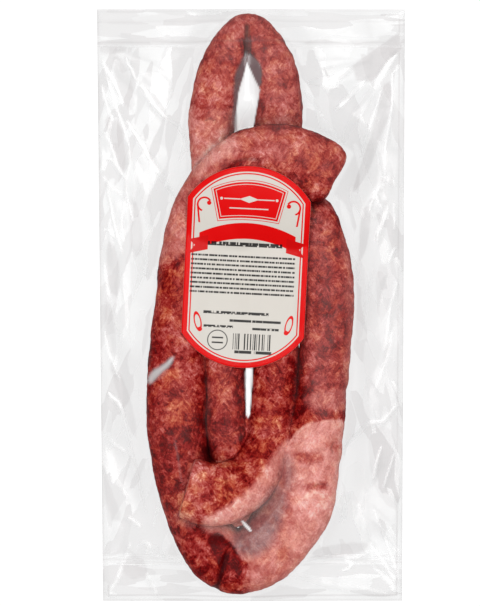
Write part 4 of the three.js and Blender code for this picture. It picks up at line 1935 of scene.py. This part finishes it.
@dataclass
class Studio:
    """A pale table lit from within, soft lights and the camera straight above."""

    floor_size: float = 8.0
    camera_height: float = 3.0
    sensor: float = 36.0
    floor_colour: Colour = (0.15, 0.15, 0.15, 1.0)
    floor_glow: float = 0.87
    lamp_distance: float = 2.2
    lamp_size: float = 0.9
    sky_strength: float = 0.26

    def floor(self) -> None:
        """A wide pale floor just under the pack."""
        half = self.floor_size / 2 / MM
        points = np.array([(-half, -half, 0), (half, -half, 0), (half, half, 0), (-half, half, 0)], float)
        mesh = mesh_of("floor", points, np.array([[0, 1, 2, 3]]))
        g = Graph("pale_floor")
        *_, place = g.place()
        tone = g.mix(g.noise(place, 400.0, 2), self.floor_colour, tuple(c * 0.985 for c in self.floor_colour))
        top = g.add(
            "BsdfPrincipled",
            sockets={
                "Base Color": tone,
                "Roughness": 0.8,
                "Emission Color": (1.0, 1.0, 1.0, 1.0),
                "Emission Strength": self.floor_glow,
            },
        )
        mesh.materials.append(g.finish(top.outputs["BSDF"]))
        new_piece("floor", mesh)

    def lamp(self, name: str, azimuth: float, elevation: float, power: float) -> None:
        """A square soft light that faces the pack.

        Args:
            name: the lamp's name.
            azimuth: where it stands, in degrees round the pack.
            elevation: its height over the table in degrees.
            power: its power in watts.
        """
        data = bpy.data.lights.new(name, "AREA")
        data.shape, data.size, data.energy = "SQUARE", self.lamp_size, power
        lamp = bpy.data.objects.new(name, data)
        a, e = math.radians(azimuth), math.radians(elevation)
        away, up = self.lamp_distance * math.cos(e), self.lamp_distance * math.sin(e)
        lamp.location = (away * math.sin(a), away * math.cos(a), up)
        lamp.rotation_euler = (math.pi / 2 - e, 0, math.pi - a)
        bpy.context.scene.collection.objects.link(lamp)

    def light(self) -> None:
        """Soft lights high on three sides and an even sky."""
        self.lamp("key", -45, 77, 18)
        self.lamp("fill", 60, 76, 15)
        self.lamp("back", 178, 76, 13)
        world = bpy.data.worlds.new("studio")
        world.use_nodes = True
        sky = world.node_tree.nodes["Background"]
        sky.inputs["Color"].default_value = (1, 1, 1, 1)
        sky.inputs["Strength"].default_value = self.sky_strength
        bpy.context.scene.world = world
        bpy.context.scene.view_settings.view_transform = "Standard"

    def camera(self) -> None:
        """The camera, whose frame is the photograph's."""
        data = bpy.data.cameras.new("camera")
        data.sensor_width = self.sensor
        data.lens = self.sensor * self.camera_height / (PHOTO_HEIGHT * PIXEL * MM)
        camera = bpy.data.objects.new("camera", data)
        x, y = to_plan([PHOTO_MIDDLE_PX])[0]
        camera.location = (x * MM, y * MM, self.camera_height)
        bpy.context.scene.collection.objects.link(camera)
        bpy.context.scene.camera = camera


# Routes of the ropes: x, y, half width, underside and thickness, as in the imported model

OUTER_ROPE_DOWN = (
    (55, 81, 18.5, 14, 25), (38.5, 89.5, 19.5, 18, 24.5), (22, 96, 19, 20.5, 25), (4.5, 97, 17.5, 20.5, 25.5),
    (-10, 89.5, 17.5, 18, 26), (-21, 78.5, 17.5, 12, 27), (-29, 67, 17, 5, 28.5), (-36, 54, 17, 1, 29),
    (-40, 34.5, 17, 0, 29), (-44, 2, 17, 0, 29), (-47.5, -29, 17.5, 0, 29), (-48, -62, 19, 0, 29.5),
    (-47, -88, 18.5, 0, 28.5), (-44, -107, 18, 0, 26), (-38.5, -127, 18, 0, 24), (-31.2, -146, 18, 0, 27),
    (-21.5, -160.5, 19, 0, 28), (-9, -169, 17, 0, 27), (5, -167.5, 16, 0, 26),
)
OUTER_ROPE_UP = (
    (-22, -163, 16, 0, 26), (-9, -169, 17.5, 0, 27), (6, -161, 20.5, 0, 28), (20.5, -144.5, 22, 0, 28.5),
    (30.2, -130, 21.3, 0, 28.5), (37.4, -102, 18.6, 0, 28.5), (44, -65, 16, 0, 28.5),
    (48.5, -16, 16, 0, 28.5), (49, 6.5, 16.5, 0, 28.5), (47.5, 26, 16, 0, 28), (44, 40, 16, 0, 27),
    (39, 54.5, 16, 0, 24), (33, 67, 16, 0, 21),
)
INNER_ROPE_UP = (
    (-41.5, -117.5, 19, 21, 25), (-26.5, -122, 19.5, 20.5, 25.5), (-12.5, -119.5, 19, 17, 26),
    (-0.5, -112, 17, 11, 26.5), (7, -100, 15.5, 5, 27), (11.5, -88, 14.5, 1, 27), (13.5, -71.5, 14.5, 0, 27),
    (16, -16, 15.1, 0, 27), (16.5, 55, 14.8, 0, 26), (17, 78, 14.5, 0, 23.5), (17, 114, 14.5, 0, 22.5),
    (18, 133, 13.5, 0, 25.5), (15.5, 147.5, 13.5, 0, 26), (12, 159, 13, 0, 25.5), (6.5, 169.5, 12, 1, 23),
    (-2, 177, 11.5, 1.5, 21), (-11, 171, 11, 2, 20),
)
INNER_ROPE_DOWN = (
    (7, 171, 11, 2, 20), (-2, 177, 11.5, 1.5, 21), (-11, 169.5, 12, 1, 23), (-16, 159, 13.5, 0, 25.5),
    (-20, 147.5, 14.5, 0, 26), (-24, 133, 13.5, 0, 26), (-25.5, 117, 14, 0, 23.5), (-25, 101, 13.5, 0, 23),
    (-21.5, 68, 13.5, 0, 25), (-18.6, 3, 13, 0, 27), (-17, -52, 13, 0, 27), (-15.8, -81, 12.5, 0, 26),
    (-13.5, -104, 12.5, 0, 23), (-11, -123.5, 12.5, 0, 21.5), (-6.5, -143, 12.5, 0, 22),
)
CUT_END, TUCKED_END = 0.9, 0.72

OUTER_CREASES = (
    Crease(((228, 548), (224, 562), (216, 589)), 2.0, 2.6, 0.8),
    Crease(((150, 372), (160, 370), (172, 360)), 1.4, 1.6, 0.3),
    Crease(((334, 440), (330, 447), (333, 452)), 0.6, 0.7, 0.35),
    Crease(((312, 485), (319, 482), (329, 484)), 0.7, 0.8, 0.35),
    Crease(((230, 165), (245, 161), (262, 163)), 1.2, 1.0, 0.5),
    Crease(((292, 190), (305, 200), (316, 215)), 1.4, 1.4, 0.7),
)
INNER_CREASES = (
    Crease(((247, 22), (247, 40), (248, 62)), 1.5, 3.0, 0.9),
    Crease(((226, 474), (229, 488), (227, 500)), 0.8, 0.9, 0.25),
    Crease(((205, 122), (211, 120), (217, 123)), 0.6, 0.6, 0.5),
)


def main() -> None:
    """Builds the pack and its studio."""
    logging.basicConfig(level=logging.INFO, format="%(message)s")
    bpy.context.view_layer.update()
    studio = Studio()
    studio.camera()
    studio.floor()
    studio.light()
    meat = SausageFinish().make()
    outer = [
        Strand(OUTER_ROPE_DOWN, CUT_END, TUCKED_END, cut_round=4.5),
        Strand(OUTER_ROPE_UP, TUCKED_END, TUCKED_END),
    ]
    inner = [
        Strand(INNER_ROPE_UP, 1.0, TUCKED_END, cut_round=1.0),
        Strand(INNER_ROPE_DOWN, TUCKED_END, TUCKED_END),
    ]
    ropes = []
    for name, strands, creases, lit, seed in (
        ("outer_rope", outer, OUTER_CREASES, (), 100),
        ("inner_rope", inner, INNER_CREASES, CUT_RIM, 200),
    ):
        ropes.append(SausageRope(name, strands, creases, lit, seed).build(meat))
        LOG.info("%s: %d faces", name, len(ropes[-1].data.polygons))
    pouch = Pouch(ropes, [*outer, *inner])
    pouch.lay_out()
    pouch.heights()
    for rope in ropes:
        pouch.darken_crevices(rope)
    for sheet, creased in ((Sheet.FRONT, 1.0), (Sheet.BACK, 0.4)):
        film = pouch.build(sheet, FilmFinish().make(sheet.value, creased))
        LOG.info("%s: %d faces", film.name, len(film.data.polygons))
    label = Label(pouch).build()
    LOG.info("%s: %d faces", label.name, len(label.data.polygons))


if __name__ == "__main__":
    main()
